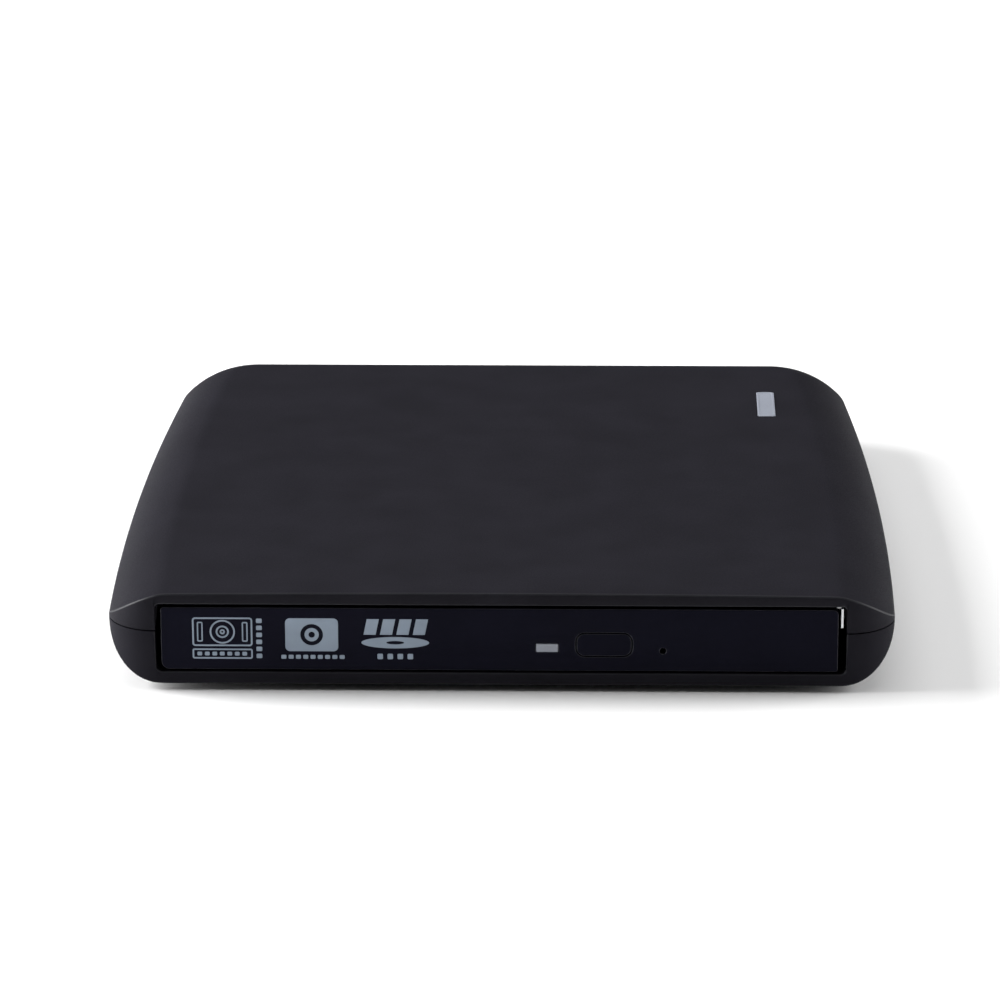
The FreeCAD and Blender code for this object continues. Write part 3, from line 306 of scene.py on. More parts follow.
def filled(name, loops, low, high, edge, plane, material, painted_highlight_material=None):
    """A plate cut to one outer loop and any holes, with rounded edges. Plane xz is upright, xy lies flat."""
    curve = bpy.data.curves.new(name, "CURVE")
    curve.dimensions = "2D"
    curve.fill_mode = "BOTH"
    for loop in loops:
        spline = curve.splines.new("POLY")
        spline.points.add(len(loop) - 1)
        for point, (a, b) in zip(spline.points, loop):
            point.co = (a * MM, b * MM, 0.0, 1.0)
        spline.use_cyclic_u = True
    curve.extrude = (high - low) / 2 * MM - edge * MM
    curve.bevel_depth = edge * MM
    curve.bevel_resolution = 3
    curve.offset = -edge * MM
    shape = placed(name + "_shape", curve)
    graph = bpy.context.evaluated_depsgraph_get()
    mesh = bpy.data.meshes.new_from_object(shape.evaluated_get(graph))
    bpy.data.objects.remove(shape)
    mesh.name = name
    middle = (low + high) / 2 * MM
    if plane == "xz":
        mesh.transform(Matrix.Translation((0, middle, 0)) @ Matrix.Rotation(math.radians(90), 4, "X"))
    else:
        mesh.transform(Matrix.Translation((0, 0, middle)))
    weld(mesh)
    mesh.materials.clear()
    mesh.materials.append(material)
    # the extra material paints the rounded edge's faces lighter than the plate: a painted highlight along the
    # edges
    if painted_highlight_material:
        mesh.materials.append(painted_highlight_material)
        across = 1 if plane == "xz" else 2
        for face in mesh.polygons:
            face.material_index = int(SIDE_LEAN < abs(face.normal[across]) < FACE_LEAN)
    return placed(name, mesh)


def arc_points(x, y, radius, start, end, steps):
    turns = [math.radians(start + (end - start) * i / steps) for i in range(steps + 1)]
    return [(x + radius * math.cos(t), y + radius * math.sin(t)) for t in turns]


def rounded(x0, x1, y0, y1, corners, steps=6):
    """A rectangle's loop. The corner radii go round from lower right to lower left."""
    lower_right, upper_right, upper_left, lower_left = corners
    return (
        arc_points(x1 - lower_right, y0 + lower_right, lower_right, -90, 0, steps)
        + arc_points(x1 - upper_right, y1 - upper_right, upper_right, 0, 90, steps)
        + arc_points(x0 + upper_left, y1 - upper_left, upper_left, 90, 180, steps)
        + arc_points(x0 + lower_left, y0 + lower_left, lower_left, 180, 270, steps))


def centred(box, grow, radius, steps=6):
    x, y, width, height = box
    half_x = width / 2 + grow
    half_y = height / 2 + grow
    return rounded(x - half_x, x + half_x, y - half_y, y + half_y, (radius,) * 4, steps)


def circle(x, y, radius, steps=24):
    return arc_points(x, y, radius, 0, 360 - 360 / steps, steps - 1)


def cut(obj, loops, low, high, plane):
    """Cuts straight openings of these loops right through between low and high."""
    for loop in loops:
        cutter = filled(obj.name + "_cutter", [loop], low, high, 0.0, plane, obj.data.materials[0])
        step = obj.modifiers.new("cut", "BOOLEAN")
        step.object = cutter
        step.operation = "DIFFERENCE"
        step.solver = "EXACT"
        apply_modifiers(obj)
        bpy.data.objects.remove(cutter)


# ---------------------------------------------------------------- case skins

side_x = HALF_WIDTH - SIDE_RADIUS


def corner_x(y, radius):
    return side_x + math.sqrt((SIDE_RADIUS - radius) ** 2 - (y - WIDEST_Y) ** 2)


front_corner = (corner_x(FRONT_Y + FRONT_CORNER_RADIUS, FRONT_CORNER_RADIUS), FRONT_Y + FRONT_CORNER_RADIUS)
rear_corner = (corner_x(REAR_Y - REAR_CORNER_RADIUS, REAR_CORNER_RADIUS), REAR_Y - REAR_CORNER_RADIUS)


def side_heading(x, y):
    return math.atan2(y - WIDEST_Y, x - side_x)


class Profile:
    """The wall's lean: arcs that start upright at the rim and end level. Way is 1 up and -1 down."""

    def __init__(self, rim_z, turns, way):
        self.arcs = []
        inset = 0.0
        z = rim_z
        for radius, lean_a, lean_b in turns:
            lean_a = math.radians(lean_a)
            lean_b = math.radians(lean_b)
            centre_inset = inset + radius * math.cos(lean_a)
            centre_z = z - way * radius * math.sin(lean_a)
            self.arcs.append((centre_inset, centre_z, radius, lean_a, lean_b))
            inset = centre_inset - radius * math.cos(lean_b)
            z = centre_z + way * radius * math.sin(lean_b)
        self.way = way
        self.end_inset = inset

    def height(self, inset):
        for centre_inset, centre_z, radius, lean_a, lean_b in self.arcs:
            if inset <= centre_inset - radius * math.cos(lean_b) + 1e-9:
                across = (centre_inset - inset) / radius
                return centre_z + self.way * radius * math.sqrt(max(0.0, 1 - across * across))
        return self.height(self.end_inset)

    def insets(self, steps):
        found = [0.0]
        for (centre_inset, centre_z, radius, lean_a, lean_b), count in zip(self.arcs, steps):
            for i in range(1, count + 1):
                lean = lean_a + (lean_b - lean_a) * i / count
                found.append(centre_inset - radius * math.cos(lean))
        return found


def front_meeting(inset):
    """Where the side, moved inward by the inset, meets the front wall."""
    reach = SIDE_RADIUS - inset
    x = side_x + math.sqrt(reach ** 2 - (FRONT_Y - WIDEST_Y) ** 2)
    if x <= front_corner[0]:
        return (x, FRONT_Y)
    apart = SIDE_RADIUS - FRONT_CORNER_RADIUS
    spread = (reach ** 2 - apart ** 2 - FRONT_CORNER_RADIUS ** 2) / (2 * apart * FRONT_CORNER_RADIUS)
    turn = side_heading(*front_corner) - math.acos(min(1.0, spread))
    return (
        front_corner[0] + FRONT_CORNER_RADIUS * math.cos(turn),
        front_corner[1] + FRONT_CORNER_RADIUS * math.sin(turn))


SIDE_STEPS = 40
CORNER_STEPS = 16
ACROSS_STEPS = 48
SILL_STEPS = 5
CROWN_EASE = 1.1

# ---- how round the creases are: the full width, how it fades in above the rim, and weights from 0 to 1
CREASE_WIDTH = 0.3
CREASE_FADE = 3.0
CREASE_SOFT = 1.0
OPENING_SOFT = 0.8
RIM_SOFT = 0.4


def half_row(inset):
    """Points along the right side from the front wall to the end of the rear corner."""
    start = side_heading(*front_meeting(inset))
    end = side_heading(*rear_corner)
    reach = SIDE_RADIUS - inset
    points = []
    for i in range(SIDE_STEPS + 1):
        turn = start + (end - start) * i / SIDE_STEPS
        points.append((side_x + reach * math.cos(turn), WIDEST_Y + reach * math.sin(turn)))
    radius = REAR_CORNER_RADIUS - inset
    for i in range(1, CORNER_STEPS + 1):
        turn = end + (math.pi / 2 - end) * i / CORNER_STEPS
        points.append((rear_corner[0] + radius * math.cos(turn), rear_corner[1] + radius * math.sin(turn)))
    return points


class Skin:
    """The points, faces and softened edges of one half of the case, before it has a wall's thickness."""

    def __init__(self, profile, rim_z, way):
        self.profile = profile
        self.rim_z = rim_z
        self.way = way
        self.points = []
        self.faces = []
        self.soft_edges = {}
        self.rows = []

    def add(self, x, y, z):
        self.points.append((x, y, z))
        return len(self.points) - 1

    def soften(self, line, weight):
        self.soft_edges.update({frozenset(pair): weight for pair in zip(line, line[1:])})

    def roll(self, insets):
        """Rows of points over the rolled sides and rear, and the faces between them."""
        for inset in insets:
            z = self.profile.height(inset)
            half = half_row(inset)
            right = [self.add(x, y, z) for x, y in half]
            end_x, end_y = half[-1]
            rear = [
                self.add(end_x - 2 * end_x * i / ACROSS_STEPS, end_y, z) for i in range(1, ACROSS_STEPS)]
            left = [self.add(-x, y, z) for x, y in half]
            self.rows.append((right, rear, left))
        for lower, upper in zip(self.rows, self.rows[1:]):
            a = lower[0] + lower[1] + lower[2][::-1]
            b = upper[0] + upper[1] + upper[2][::-1]
            self.faces += [(a[i], a[i + 1], b[i + 1], b[i]) for i in range(len(a) - 1)]

    def close_middle(self, crown):
        """The flat or domed middle. Returns the line of points along its front edge."""
        right, rear, left = self.rows[-1]
        level = self.profile.height(self.profile.end_inset)
        rear_y = REAR_Y - self.profile.end_inset
        grid = []
        for r, l in zip(right[:-1], left[:-1]):
            x, y, z = self.points[r]
            ease = max(0.0, (rear_y - y) / (rear_y - FRONT_Y)) ** CROWN_EASE
            line = [r]
            for i in range(1, ACROSS_STEPS):
                across = 1 - 2 * i / ACROSS_STEPS
                line.append(self.add(x * across, y, level + crown * ease * (1 - across * across)))
            grid.append(line + [l])
        grid.append([right[-1]] + rear + [left[-1]])
        for near, far in zip(grid, grid[1:]):
            self.faces += [(near[i], near[i + 1], far[i + 1], far[i]) for i in range(ACROSS_STEPS)]
        return grid[0]

    def sill_turn(self, mirror, inner_x, sill_z, sill_radius):
        """The rounded corner of the opening, from its side to its sill."""
        turns = [math.pi / 2 * (1 - i / SILL_STEPS) for i in range(SILL_STEPS + 1)]
        return [
            self.add(
                mirror * (inner_x + sill_radius * math.sin(t)), FRONT_Y,
                sill_z - self.way * sill_radius * (1 - math.cos(t)))
            for t in turns]

    def front_side(self, side, mirror, gate, sill_z, sill_radius):
        """The front wall beside the opening. Returns the last point on the sill."""
        points, faces = self.points, self.faces
        inner_x = OPENING_HALF - sill_radius
        crest = [row[side][0] for row in self.rows]
        feet = [crest[0]] + [self.add(points[c][0], points[c][1], self.rim_z) for c in crest[1:gate + 1]]
        turn = self.sill_turn(mirror, inner_x, sill_z, sill_radius)
        first = min(i for i in range(gate, len(crest)) if abs(points[crest[i]][0]) <= inner_x)
        sill = [self.add(points[c][0], FRONT_Y, sill_z) for c in crest[first:]]
        for i in range(gate - 1):
            faces.append(tuple(dict.fromkeys([feet[i], feet[i + 1], crest[i + 1], crest[i]])))
        faces.append((feet[gate - 1], feet[gate], turn[0], crest[gate], crest[gate - 1]))
        faces.append(tuple(turn + [sill[0]] + crest[gate:first + 1][::-1]))
        for i in range(len(sill) - 1):
            faces.append((sill[i], sill[i + 1], crest[first + i + 1], crest[first + i]))
        for i in range(len(crest) - 1):
            rise = abs(points[crest[i + 1]][2] - self.rim_z)
            self.soften(crest[i:i + 2], min(1.0, rise / CREASE_FADE))
        self.soften([feet[gate]] + turn + sill, OPENING_SOFT)
        return sill[-1]

    def front_middle(self, top_line, sill_z, sill_ends):
        """The front wall's band between the sill and the middle."""
        low_line = [sill_ends[0]]
        low_line += [self.add(self.points[v][0], FRONT_Y, sill_z) for v in top_line[1:-1]]
        low_line.append(sill_ends[1])
        for i in range(ACROSS_STEPS):
            self.faces.append((low_line[i], low_line[i + 1], top_line[i + 1], top_line[i]))
        self.soften(low_line, OPENING_SOFT)
        self.soften(top_line, CREASE_SOFT)


def face_outward(mesh, rim_z):
    """Turns the open skin's faces away from the inside of the case."""
    work = bmesh.new()
    work.from_mesh(mesh)
    bmesh.ops.recalc_face_normals(work, faces=work.faces)
    work.faces.ensure_lookup_table()
    probe = work.faces[len(work.faces) // 2]
    middle = probe.calc_center_median()
    outward = Vector((middle.x, middle.y, middle.z - rim_z * MM))
    if probe.normal.dot(outward) < 0:
        bmesh.ops.reverse_faces(work, faces=work.faces)
    work.to_mesh(mesh)
    work.free()


def thicken(obj):
    shell = obj.modifiers.new("wall", "SOLIDIFY")
    shell.thickness = WALL * MM
    shell.offset = -1.0
    shell.use_even_offset = True
    apply_modifiers(obj)


def soften_edges(obj, soft_edges):
    """Rounds the outer skin's creases, each by its own weight, in a shinier material painted lighter as a
    highlight.
    """
    weights = obj.data.attributes.new("bevel_weight_edge", "FLOAT", "EDGE")
    for edge in obj.data.edges:
        weights.data[edge.index].value = soft_edges.get(frozenset(edge.vertices), 0.0)
    bevel = obj.modifiers.new("edges", "BEVEL")
    bevel.width = CREASE_WIDTH * MM
    bevel.segments = 3
    bevel.limit_method = "WEIGHT"
    bevel.use_clamp_overlap = False
    obj.data.materials.append(shell_crease_painted_highlight)
    bevel.material = 1
    apply_modifiers(obj)


def skin_mesh(name, rim_z, turns, steps, way, sill_z, crown, sill_radius, material):
    """One half of the case: rolled sides and rear, middle, and the front wall round the opening."""
    profile = Profile(rim_z, turns, way)
    sill_inset = SIDE_RADIUS - math.hypot(OPENING_HALF - side_x, FRONT_Y - WIDEST_Y)
    insets = sorted(profile.insets(steps) + [sill_inset])
    gate = insets.index(sill_inset)
    skin = Skin(profile, rim_z, way)
    skin.roll(insets)
    top_line = skin.close_middle(crown)
    sill_ends = [
        skin.front_side(side, mirror, gate, sill_z, sill_radius) for side, mirror in ((0, 1), (2, -1))]
    skin.front_middle(top_line, sill_z, sill_ends)
    right, rear, left = skin.rows[0]
    skin.soften(right + rear + left[::-1], RIM_SOFT)

    mesh = bpy.data.meshes.new(name)
    mesh.from_pydata([Vector(p) * MM for p in skin.points], [], skin.faces)
    mesh.materials.append(material)
    obj = placed(name, mesh)
    face_outward(mesh, rim_z)
    thicken(obj)
    soften_edges(obj, skin.soft_edges)
    return obj


def window_loop(grow):
    """The status window's outline: straight long sides and gently bowed ends."""
    x, y, width, length = WINDOW
    half = width / 2 + grow
    end = length / 2 + grow - WINDOW_BOW
    loop = []
    for side in (1, -1):
        for i in range(9):
            t = side * (1 - i / 4)
            bow = WINDOW_BOW * math.sqrt(max(0.0, 1 - WINDOW_BEND * t * t))
            loop.append((x + half * t, y + side * (end + bow)))
    return loop


# each arc of the wall: radius, lean at its start and lean at its end; then the steps in each arc
UPPER_TURNS = ((2.2, 0.0, 42.0), (19.11, 42.0, 73.0), (8.0, 73.0, 90.0))
UPPER_STEPS = (7, 16, 6)
LOWER_TURNS = ((10.55, 0.0, 90.0),)
LOWER_STEPS = (18,)
UPPER_SILL_RADIUS = 0.8
LOWER_SILL_RADIUS = 1.2
WINDOW_GAP = 0.08

upper_skin = skin_mesh(
    "upper_skin", UPPER_RIM_Z, UPPER_TURNS, UPPER_STEPS, 1, OPENING_HIGH, CROWN, UPPER_SILL_RADIUS,
    looks["shell_upper"])
cut(upper_skin, [window_loop(WINDOW_GAP)], 15.0, 22.0, "xy")
finish_piece(upper_skin, "case", "shell_upper", "top_shell")

CASE_SCREWS = ((66.3, -40.0), (-66.3, -40.0), (56.0, 60.0), (-56.0, 60.0))
FEET = ((54.0, -60.0), (-54.0, -60.0), (49.0, 56.0), (-49.0, 56.0))
DRIVE_SCREWS = ((50.0, 38.0), (-50.0, 38.0))
USB = (18.0, 9.15, 7.7, 3.9)
JACK = (-18.0, 9.5, 2.4)
CASE_SCREW_HOLE = 2.45
DRIVE_SCREW_HOLE = 2.3
FOOT_POCKET = 5.15
FOOT_RECESS = 0.6

lower_skin = skin_mesh(
    "lower_skin", LOWER_RIM_Z, LOWER_TURNS, LOWER_STEPS, -1, OPENING_LOW, 0.0, LOWER_SILL_RADIUS,
    looks["shell_lower"])
cut(lower_skin, [centred(USB, 0.4, 0.6), circle(*JACK)], 66.0, 80.0, "xz")
under_holes = [circle(x, y, CASE_SCREW_HOLE) for x, y in CASE_SCREWS]
under_holes += [circle(x, y, DRIVE_SCREW_HOLE) for x, y in DRIVE_SCREWS]
cut(lower_skin, under_holes, -2.0, 6.0, "xy")
cut(lower_skin, [circle(x, y, FOOT_POCKET, 48) for x, y in FEET], -2.0, GROUND_GAP + FOOT_RECESS, "xy")
finish_piece(lower_skin, "case", "shell_lower", "bottom_shell")


def rings(name, places, inner, outer, low, high, body, slot):
    """Round bosses with a hole, one mesh for all."""
    points = []
    faces = []
    steps = 32
    for x, y in places:
        base = len(points)
        for radius, z in ((inner, low), (outer, low), (outer, high), (inner, high)):
            points += [(*p, z) for p in arc_points(x, y, radius, 0, 360 - 360 / steps, steps - 1)]
        for ring in range(4):
            a = base + ring * steps
            b = base + (ring + 1) % 4 * steps
            faces += [(a + i, a + (i + 1) % steps, b + (i + 1) % steps, b + i) for i in range(steps)]
    finish_piece(make_object(name, points, faces, looks[slot]), body, slot)


rings("screw_bosses", CASE_SCREWS, 2.4, 3.2, 2.6, 4.0, "case", "shell_lower")
rings("screw_seats", CASE_SCREWS, 1.45, 3.2, 4.0, 9.0, "case", "shell_lower")
rings("drive_seats", DRIVE_SCREWS, 1.1, 3.4, 2.6, 4.1, "case", "shell_lower")


def lip_band():
    """The tongue inside the parting line, which closes the gap between the shells."""
    loops = []
    for inset in (1.1, 1.7):
        half = half_row(inset)[6:]
        loops.append(half + [(-x, y) for x, y in half[::-1]])
    outer, inner = loops
    count = len(outer)
    points = []
    for loop in (outer, inner):
        for z in (LOWER_RIM_Z - 1.0, LOWER_RIM_Z + 1.4):
            points += [(x, y, z) for x, y in loop]
    faces = []
    for a, b in ((0, 1), (1, 3), (3, 2), (2, 0)):
        for i in range(count - 1):
            faces.append((a * count + i, a * count + i + 1, b * count + i + 1, b * count + i))
    faces.append((0, count, 3 * count, 2 * count))
    last = count - 1
    faces.append((last, count + last, 3 * count + last, 2 * count + last))
    return make_object("shell_lip", points, faces, looks["shell_lower"])


finish_piece(lip_band(), "case", "shell_lower")

# ---------------------------------------------------------------- status window

window_rim = filled(
    "window_rim", [window_loop(0.0), window_loop(-0.5)], WINDOW_BASE, ROOF_Z + 0.16, 0.1, "xy",
    looks["window"])
finish_piece(window_rim, "case", "window")
window_pane = filled(
    "window_pane", [window_loop(-0.45)], WINDOW_BASE, ROOF_Z + 0.04, 0.03, "xy", looks["window"])
finish_piece(window_pane, "case", "window")

# ---------------------------------------------------------------- faceplate

bezel = filled(
    "faceplate",
    [
        rounded(BEZEL_LEFT, BEZEL_RIGHT, BEZEL_LOW, BEZEL_HIGH, (0.5, 1.0, 0.6, 1.5)),
        centred(BUTTON, BUTTON_GAP, 1.8),
        centred(LIGHT, 0.03, 0.25),
        circle(*PINHOLE)],
    BEZEL_FRONT, BEZEL_BACK, 0.22, "xz", looks["bezel"], bezel_edge_painted_highlight)
finish_piece(bezel, "tray", "bezel", "tray_bezel")

button = filled(
    "button_cap", [centred(BUTTON, 0.0, 1.6)], BEZEL_FRONT, BEZEL_BACK + 0.2, 0.25, "xz", looks["bezel"],
    bezel_edge_painted_highlight)
finish_piece(button, "eject_button", "bezel", "eject_button")
collar_half = BUTTON[2] / 2 + COLLAR_REACH
collar_loop = rounded(
    BUTTON[0] - collar_half, BUTTON[0] + collar_half, BUTTON[1] - COLLAR_DROP, COLLAR_TOP, (0.3,) * 4)
collar = filled(
    "button_collar", [collar_loop], BEZEL_BACK + 0.1, BEZEL_BACK + 0.7, 0.08, "xz", looks["bezel"])
finish_piece(collar, "eject_button", "bezel")
stem = filled(
    "button_stem", [centred(STEM, 0.0, 0.2)], BEZEL_BACK + 0.5, BEZEL_BACK + 2.0, 0.08, "xz",
    looks["bezel"])
finish_piece(stem, "eject_button", "bezel")

light = filled(
    "light_lens", [centred(LIGHT, 0.0, 0.22)], BEZEL_FRONT + 0.02, BEZEL_BACK + 1.2, 0.12, "xz",
    looks["window"])
finish_piece(light, "tray", "window", "bezel_light_pipe")


# ---------------------------------------------------------------- printed pictograms

INK_LOW = BEZEL_FRONT - 0.03
INK_HIGH = BEZEL_FRONT + 0.02


def printed(name, loops):
    obj = filled(name, loops, INK_LOW, INK_HIGH, 0.0, "xz", print_ink)
    finish_piece(obj, "tray", "bezel")


def frame_loops(x0, x1, z0, z1, radius, line):
    outer = rounded(x0, x1, z0, z1, (radius,) * 4)
    inner = rounded(x0 + line, x1 - line, z0 + line, z1 - line, (max(0.1, radius - line),) * 4)
    return [outer, inner]


def ring_loops(x, z, outer, inner):
    return [circle(x, z, outer, 40), circle(x, z, inner, 40)]


def dot_row(name, count, x, z, step_x, step_z, width, height):
    """A row of small rounded blocks."""
    for number in range(count):
        left = x + number * step_x
        low = z + number * step_z
        printed("%s_%d" % (name, number), [rounded(left, left + width, low, low + height, (DOT_CORNER,) * 4)])


def oval(x, z, half_width, half_height, sides):
    turns = [2 * math.pi * i / sides for i in range(sides)]
    return [(x + half_width * math.cos(t), z + half_height * math.sin(t)) for t in turns]


DOT_CORNER = 0.2
DISC = (-52.6, 11.8)
CARD_RING = (-35.7, 11.3)
OVAL = (-19.9, 9.75)

# first mark: a disc in a frame, with a bar at each side and a plate of dots below
printed("mark_disc_frame", frame_loops(-58.3, -46.9, 8.9, 14.7, 0.6, 0.32))
printed("mark_disc_ring", ring_loops(*DISC, 2.4, 2.08))
printed("mark_disc_inner", ring_loops(*DISC, 1.25, 0.93))
printed("mark_disc_hub", ring_loops(*DISC, 0.5, 0.2))
for number, x in enumerate((-57.4, -48.9)):
    printed("mark_disc_bar_%d" % number, frame_loops(x, x + 1.1, 9.8, 13.8, 0.3, 0.25))
printed("mark_plate", frame_loops(-58.3, -46.9, 6.35, 8.4, 0.4, 0.3))
dot_row("mark_plate_dot", 7, -57.4, 7.0, 1.42, 0.0, 0.9, 0.75)
dot_row("mark_tick", 6, -46.2, 6.5, 0.0, 1.42, 1.1, 0.9)

# second mark: a solid card with a ring in it, over a row of dots
printed("mark_card", [rounded(-40.7, -30.7, 7.95, 14.6, (0.9,) * 4), circle(*CARD_RING, 2.15, 40)])
printed("mark_card_hub", ring_loops(*CARD_RING, 1.35, 0.6))
dot_row("mark_card_dot", 9, -41.5, 6.4, 1.38, 0.0, 0.95, 0.8)

# third mark: four slanted blocks over a flat oval, over a row of dots
BLOCK_STEP = 3.1
BLOCK_WIDTH = 2.3
BLOCK_SLANT = 0.65
BLOCK_LOW = 11.35
BLOCK_HIGH = 14.5
for number in range(4):
    x = -25.9 + number * BLOCK_STEP
    printed("mark_block_%d" % number, [[
        (x, BLOCK_LOW), (x + BLOCK_WIDTH, BLOCK_LOW),
        (x + BLOCK_WIDTH + BLOCK_SLANT, BLOCK_HIGH), (x + BLOCK_SLANT, BLOCK_HIGH)]])
printed("mark_ellipse", [oval(*OVAL, 6.4, 1.15, 48), oval(*OVAL, 1.7, 0.35, 32)])
dot_row("mark_block_dot", 4, -23.3, 6.4, 1.9, 0.0, 1.05, 1.1)


# ---------------------------------------------------------------- working parts

HUB = (-0.26, -8.4)
TRAVERSE_TURN = math.radians(225.0)
SCREW_V = -16.6
SCREW_Z = 8.2


def in_drive(u, v, z):
    """A point from the traverse's own u and v to the case's frame."""
    x = HUB[0] + u * math.cos(TRAVERSE_TURN) - v * math.sin(TRAVERSE_TURN)
    y = HUB[1] + u * math.sin(TRAVERSE_TURN) + v * math.cos(TRAVERSE_TURN)
    return (x, y, z)


def sweep(name, rings_of_points, material):
    """Joins closed rings of points into one skin with capped ends."""
    count = len(rings_of_points[0])
    points = [p for ring in rings_of_points for p in ring]
    faces = []
    for r in range(len(rings_of_points) - 1):
        a = r * count
        b = a + count
        faces += [(a + i, a + (i + 1) % count, b + (i + 1) % count, b + i) for i in range(count)]
    faces.append(tuple(range(count)))
    faces.append(tuple(range(len(points) - count, len(points))))
    return make_object(name, points, faces, material)


def threaded_shaft():
    """The lead screw: a shaft with a coarse rounded thread."""
    start, length, shaft_radius = 7.2, 48.8, 1.0
    thread_start, thread_end = 13.0, 54.0
    pitch = 3.0
    depth = 0.28
    steps, sides = 320, 24
    rows = []
    for step in range(steps + 1):
        u = start + length * step / steps
        ring = []
        for i in range(sides):
            turn = 2 * math.pi * i / sides
            wave = 0.5 + 0.5 * math.cos(2 * math.pi * u / pitch - turn)
            radius = shaft_radius - depth * wave if thread_start < u < thread_end else shaft_radius
            ring.append(in_drive(u, SCREW_V + radius * math.cos(turn), SCREW_Z + radius * math.sin(turn)))
        rows.append(ring)
    return sweep("screw_thread", rows, looks["rod_steel"])


finish_piece(threaded_shaft(), "lead_screw", "rod_steel", "lead_screw")


LENS_U = 24.0
LENS_TOP = 11.9
LENS_CURVE = 4.6
LENS_RADIUS = 2.1
BARREL_RADIUS = 2.6


def lens_ring(loop, z):
    return [in_drive(LENS_U + a, b, z) for a, b in loop]


def lens_pieces():
    """The objective lens: a dark holder plate with a barrel, and a shallow glass dome in it."""
    plate = rounded(-3.3, 3.3, -4.2, 4.2, (1.0,) * 4, 7)
    plate_edge = rounded(-3.18, 3.18, -4.08, 4.08, (0.9,) * 4, 7)
    holder = sweep("lens_holder", [
        lens_ring(plate_edge, 9.1), lens_ring(plate, 9.22), lens_ring(plate, 10.38),
        lens_ring(plate_edge, 10.5)], looks["frame_plastic"])
    barrel = sweep("lens_barrel", [
        lens_ring(circle(0, 0, radius, 32), z) for radius, z in (
            (BARREL_RADIUS, 10.45), (BARREL_RADIUS, 11.1), (BARREL_RADIUS - 0.1, 11.2),
            (LENS_RADIUS + 0.05, 11.2), (LENS_RADIUS, 11.15))], looks["frame_plastic"])
    dome = sweep("lens_dome", [
        lens_ring(circle(0, 0, radius, 32), LENS_TOP - LENS_CURVE + math.sqrt(LENS_CURVE ** 2 - radius ** 2))
        for radius in [LENS_RADIUS * (1 - i / 8) + 0.02 for i in range(9)]], looks["lens_glass"])
    finish_piece(holder, "lens", "frame_plastic", "objective_lens")
    finish_piece(barrel, "lens", "frame_plastic")
    finish_piece(dome, "lens", "lens_glass")


lens_pieces()


SPRING_AXIS = (-40.26, 7.85)


def coil_spring():
    """The eject spring: eleven turns of wire between the tray's stop and the pusher."""
    x, z = SPRING_AXIS
    start, end = 19.75, 33.65
    turns, wire, radius = 11, 0.2, 1.08
    steps = turns * 20
    rows = []
    for step in range(steps + 1):
        t = step / steps
        turn = 2 * math.pi * turns * t
        y = start + wire + (end - start - 2 * wire) * t
        out = Vector((math.cos(turn), 0.0, math.sin(turn)))
        centre = Vector((x, y, z)) + out * radius
        rows.append([
            tuple(centre + out * wire * math.cos(a) + Vector((0, 1, 0)) * wire * math.sin(a))
            for a in [2 * math.pi * i / 8 for i in range(8)]])
    return sweep("eject_coil", rows, looks["spring_steel"])


coil = coil_spring()
smooth(coil)
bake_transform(coil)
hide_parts("eject_spring")


def flat_cable():
    """The folded flat cable: low run on the pan, one bend, high run under the tray."""
    x0, x1 = 43.24, 54.24
    low_z, high_z, fold_y = 4.95, 7.45, -43.0
    low_end_y, high_end_y = 33.0, 22.0
    low_steps, bend_steps, high_steps = 24, 16, 20
    thickness = 0.16
    radius = (high_z - low_z) / 2
    path = [(low_end_y + (fold_y - low_end_y) * i / low_steps, low_z) for i in range(low_steps + 1)]
    for i in range(1, bend_steps + 1):
        turn = -math.pi / 2 - math.pi * i / bend_steps
        path.append((fold_y + radius * math.cos(turn), low_z + radius + radius * math.sin(turn)))
    path += [(fold_y + (high_end_y - fold_y) * i / high_steps, high_z) for i in range(1, high_steps + 1)]
    rows = []
    for i, (y, z) in enumerate(path):
        before = path[max(0, i - 1)]
        after = path[min(len(path) - 1, i + 1)]
        along = Vector((after[0] - before[0], after[1] - before[1])).normalized()
        off = Vector((-along.y, along.x)) * thickness / 2
        rows.append([
            (x0, y + off.x, z + off.y), (x1, y + off.x, z + off.y),
            (x1, y - off.x, z - off.y), (x0, y - off.x, z - off.y)])
    return sweep("flat_cable", rows, looks["flex"])


cable = flat_cable()
smooth(cable)
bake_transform(cable)
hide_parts("flex_cable")


# ---------------------------------------------------------------- floor, light and camera

def stage_floor():
    """A pale sheet under and behind the object."""
    size = 6.0
    corners = [(-size, -size, 0), (size, -size, 0), (size, size, 0), (-size, size, 0)]
    mesh = bpy.data.meshes.new("floor")
    mesh.from_pydata(corners, [], [(0, 1, 2, 3)])
    floor = placed("floor", mesh)
    material, nodes, links = new_material("floor_paper")
    shader = nodes["Principled BSDF"]
    shader.inputs["Base Color"].default_value = (0.92, 0.92, 0.92, 1.0)
    shader.inputs["Roughness"].default_value = 0.9
    shader.inputs["Specular IOR Level"].default_value = 0.1
    mesh.materials.append(material)


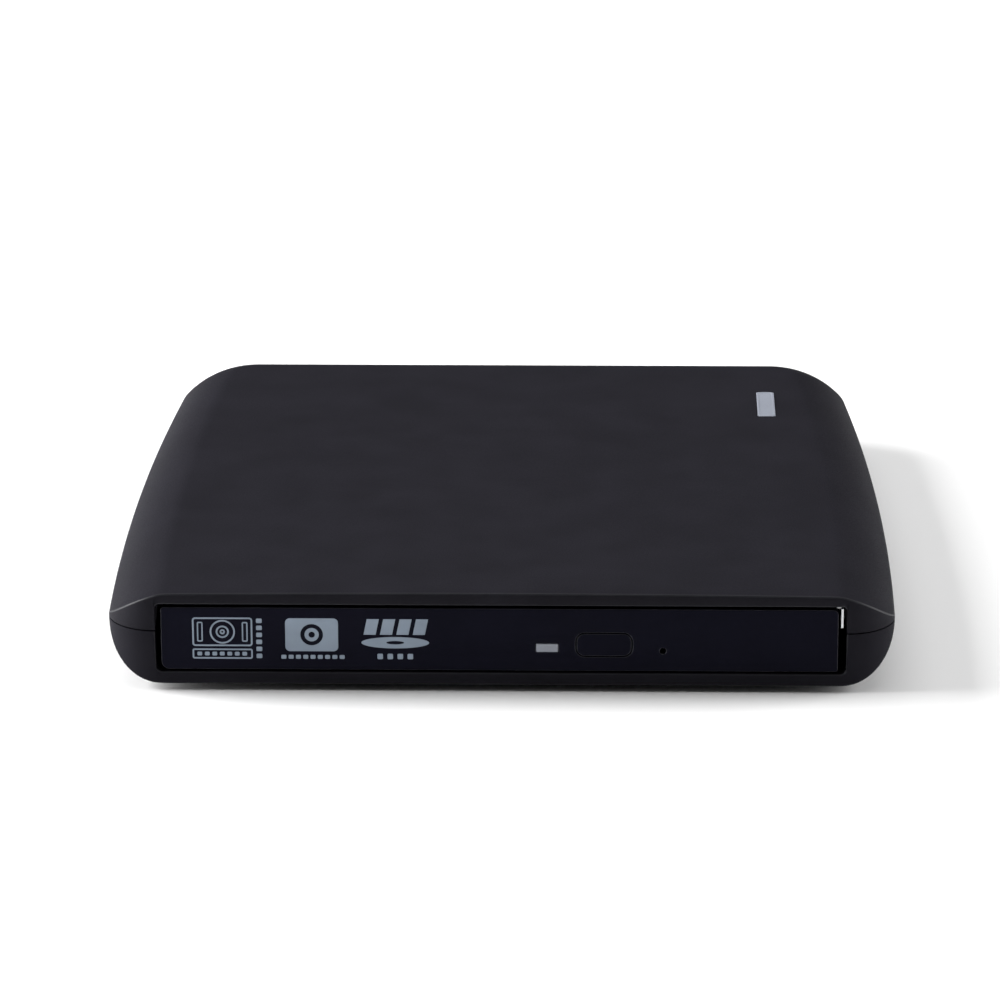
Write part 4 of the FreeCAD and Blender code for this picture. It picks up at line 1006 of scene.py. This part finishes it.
def soft_box(name, place, size, power):
    """A rectangular studio light that points at the middle of the object's foot."""
    light = bpy.data.lights.new(name, "AREA")
    light.shape = "RECTANGLE"
    light.size, light.size_y = size
    light.energy = power
    holder = placed(name, light)
    holder.location = place
    holder.rotation_mode = "QUATERNION"
    holder.rotation_quaternion = (-Vector(place)).to_track_quat("-Z", "Y")


stage_floor()
soft_box("top_light", (0.0, 0.30, 1.30), (1.6, 0.9), 7.7)
soft_box("left_light", (-1.3, 0.15, 0.5), (0.8, 1.2), 54.0)
soft_box("right_light", (1.3, 0.25, 0.5), (0.8, 1.2), 20.0)


def studio_world(horizon, zenith):
    """A white room that is dim near the horizon and bright overhead."""
    world = bpy.data.worlds.new("studio")
    world.use_nodes = True
    nodes, links = world.node_tree.nodes, world.node_tree.links
    split = nodes.new("ShaderNodeSeparateXYZ")
    links.new(nodes.new("ShaderNodeTexCoord").outputs["Generated"], split.inputs["Vector"])
    background = nodes["Background"]
    background.inputs["Color"].default_value = (1.0, 1.0, 1.0, 1.0)
    glow = ranged(nodes, links, split.outputs["Z"], horizon, zenith, 0.1, 0.8)
    links.new(glow, background.inputs["Strength"])
    bpy.context.scene.world = world


studio_world(0.01, 0.13)
bpy.context.scene.view_settings.view_transform = "Standard"

LENS_LENGTH = 195.365
SENSOR_WIDTH = 36.0
CAMERA_PLACE = (0.020663, -1.029229, 0.382079)
CAMERA_RIGHT = Vector((0.999783, 0.020611, -0.002874))
CAMERA_UP = Vector((-0.004269, 0.338309, 0.941026))
CAMERA_BACK = Vector((0.020367, -0.940809, 0.338323))


def front_camera():
    """A long lens in front of the object, looking down at it by some twenty degrees."""
    data = bpy.data.cameras.new("camera")
    data.lens = LENS_LENGTH
    data.sensor_width = SENSOR_WIDTH
    data.clip_start = 0.05
    data.clip_end = 50.0
    camera = placed("camera", data)
    turn = Matrix((CAMERA_RIGHT, CAMERA_UP, CAMERA_BACK)).transposed().to_4x4()
    camera.matrix_world = Matrix.Translation(CAMERA_PLACE) @ turn
    bpy.context.scene.camera = camera


front_camera()
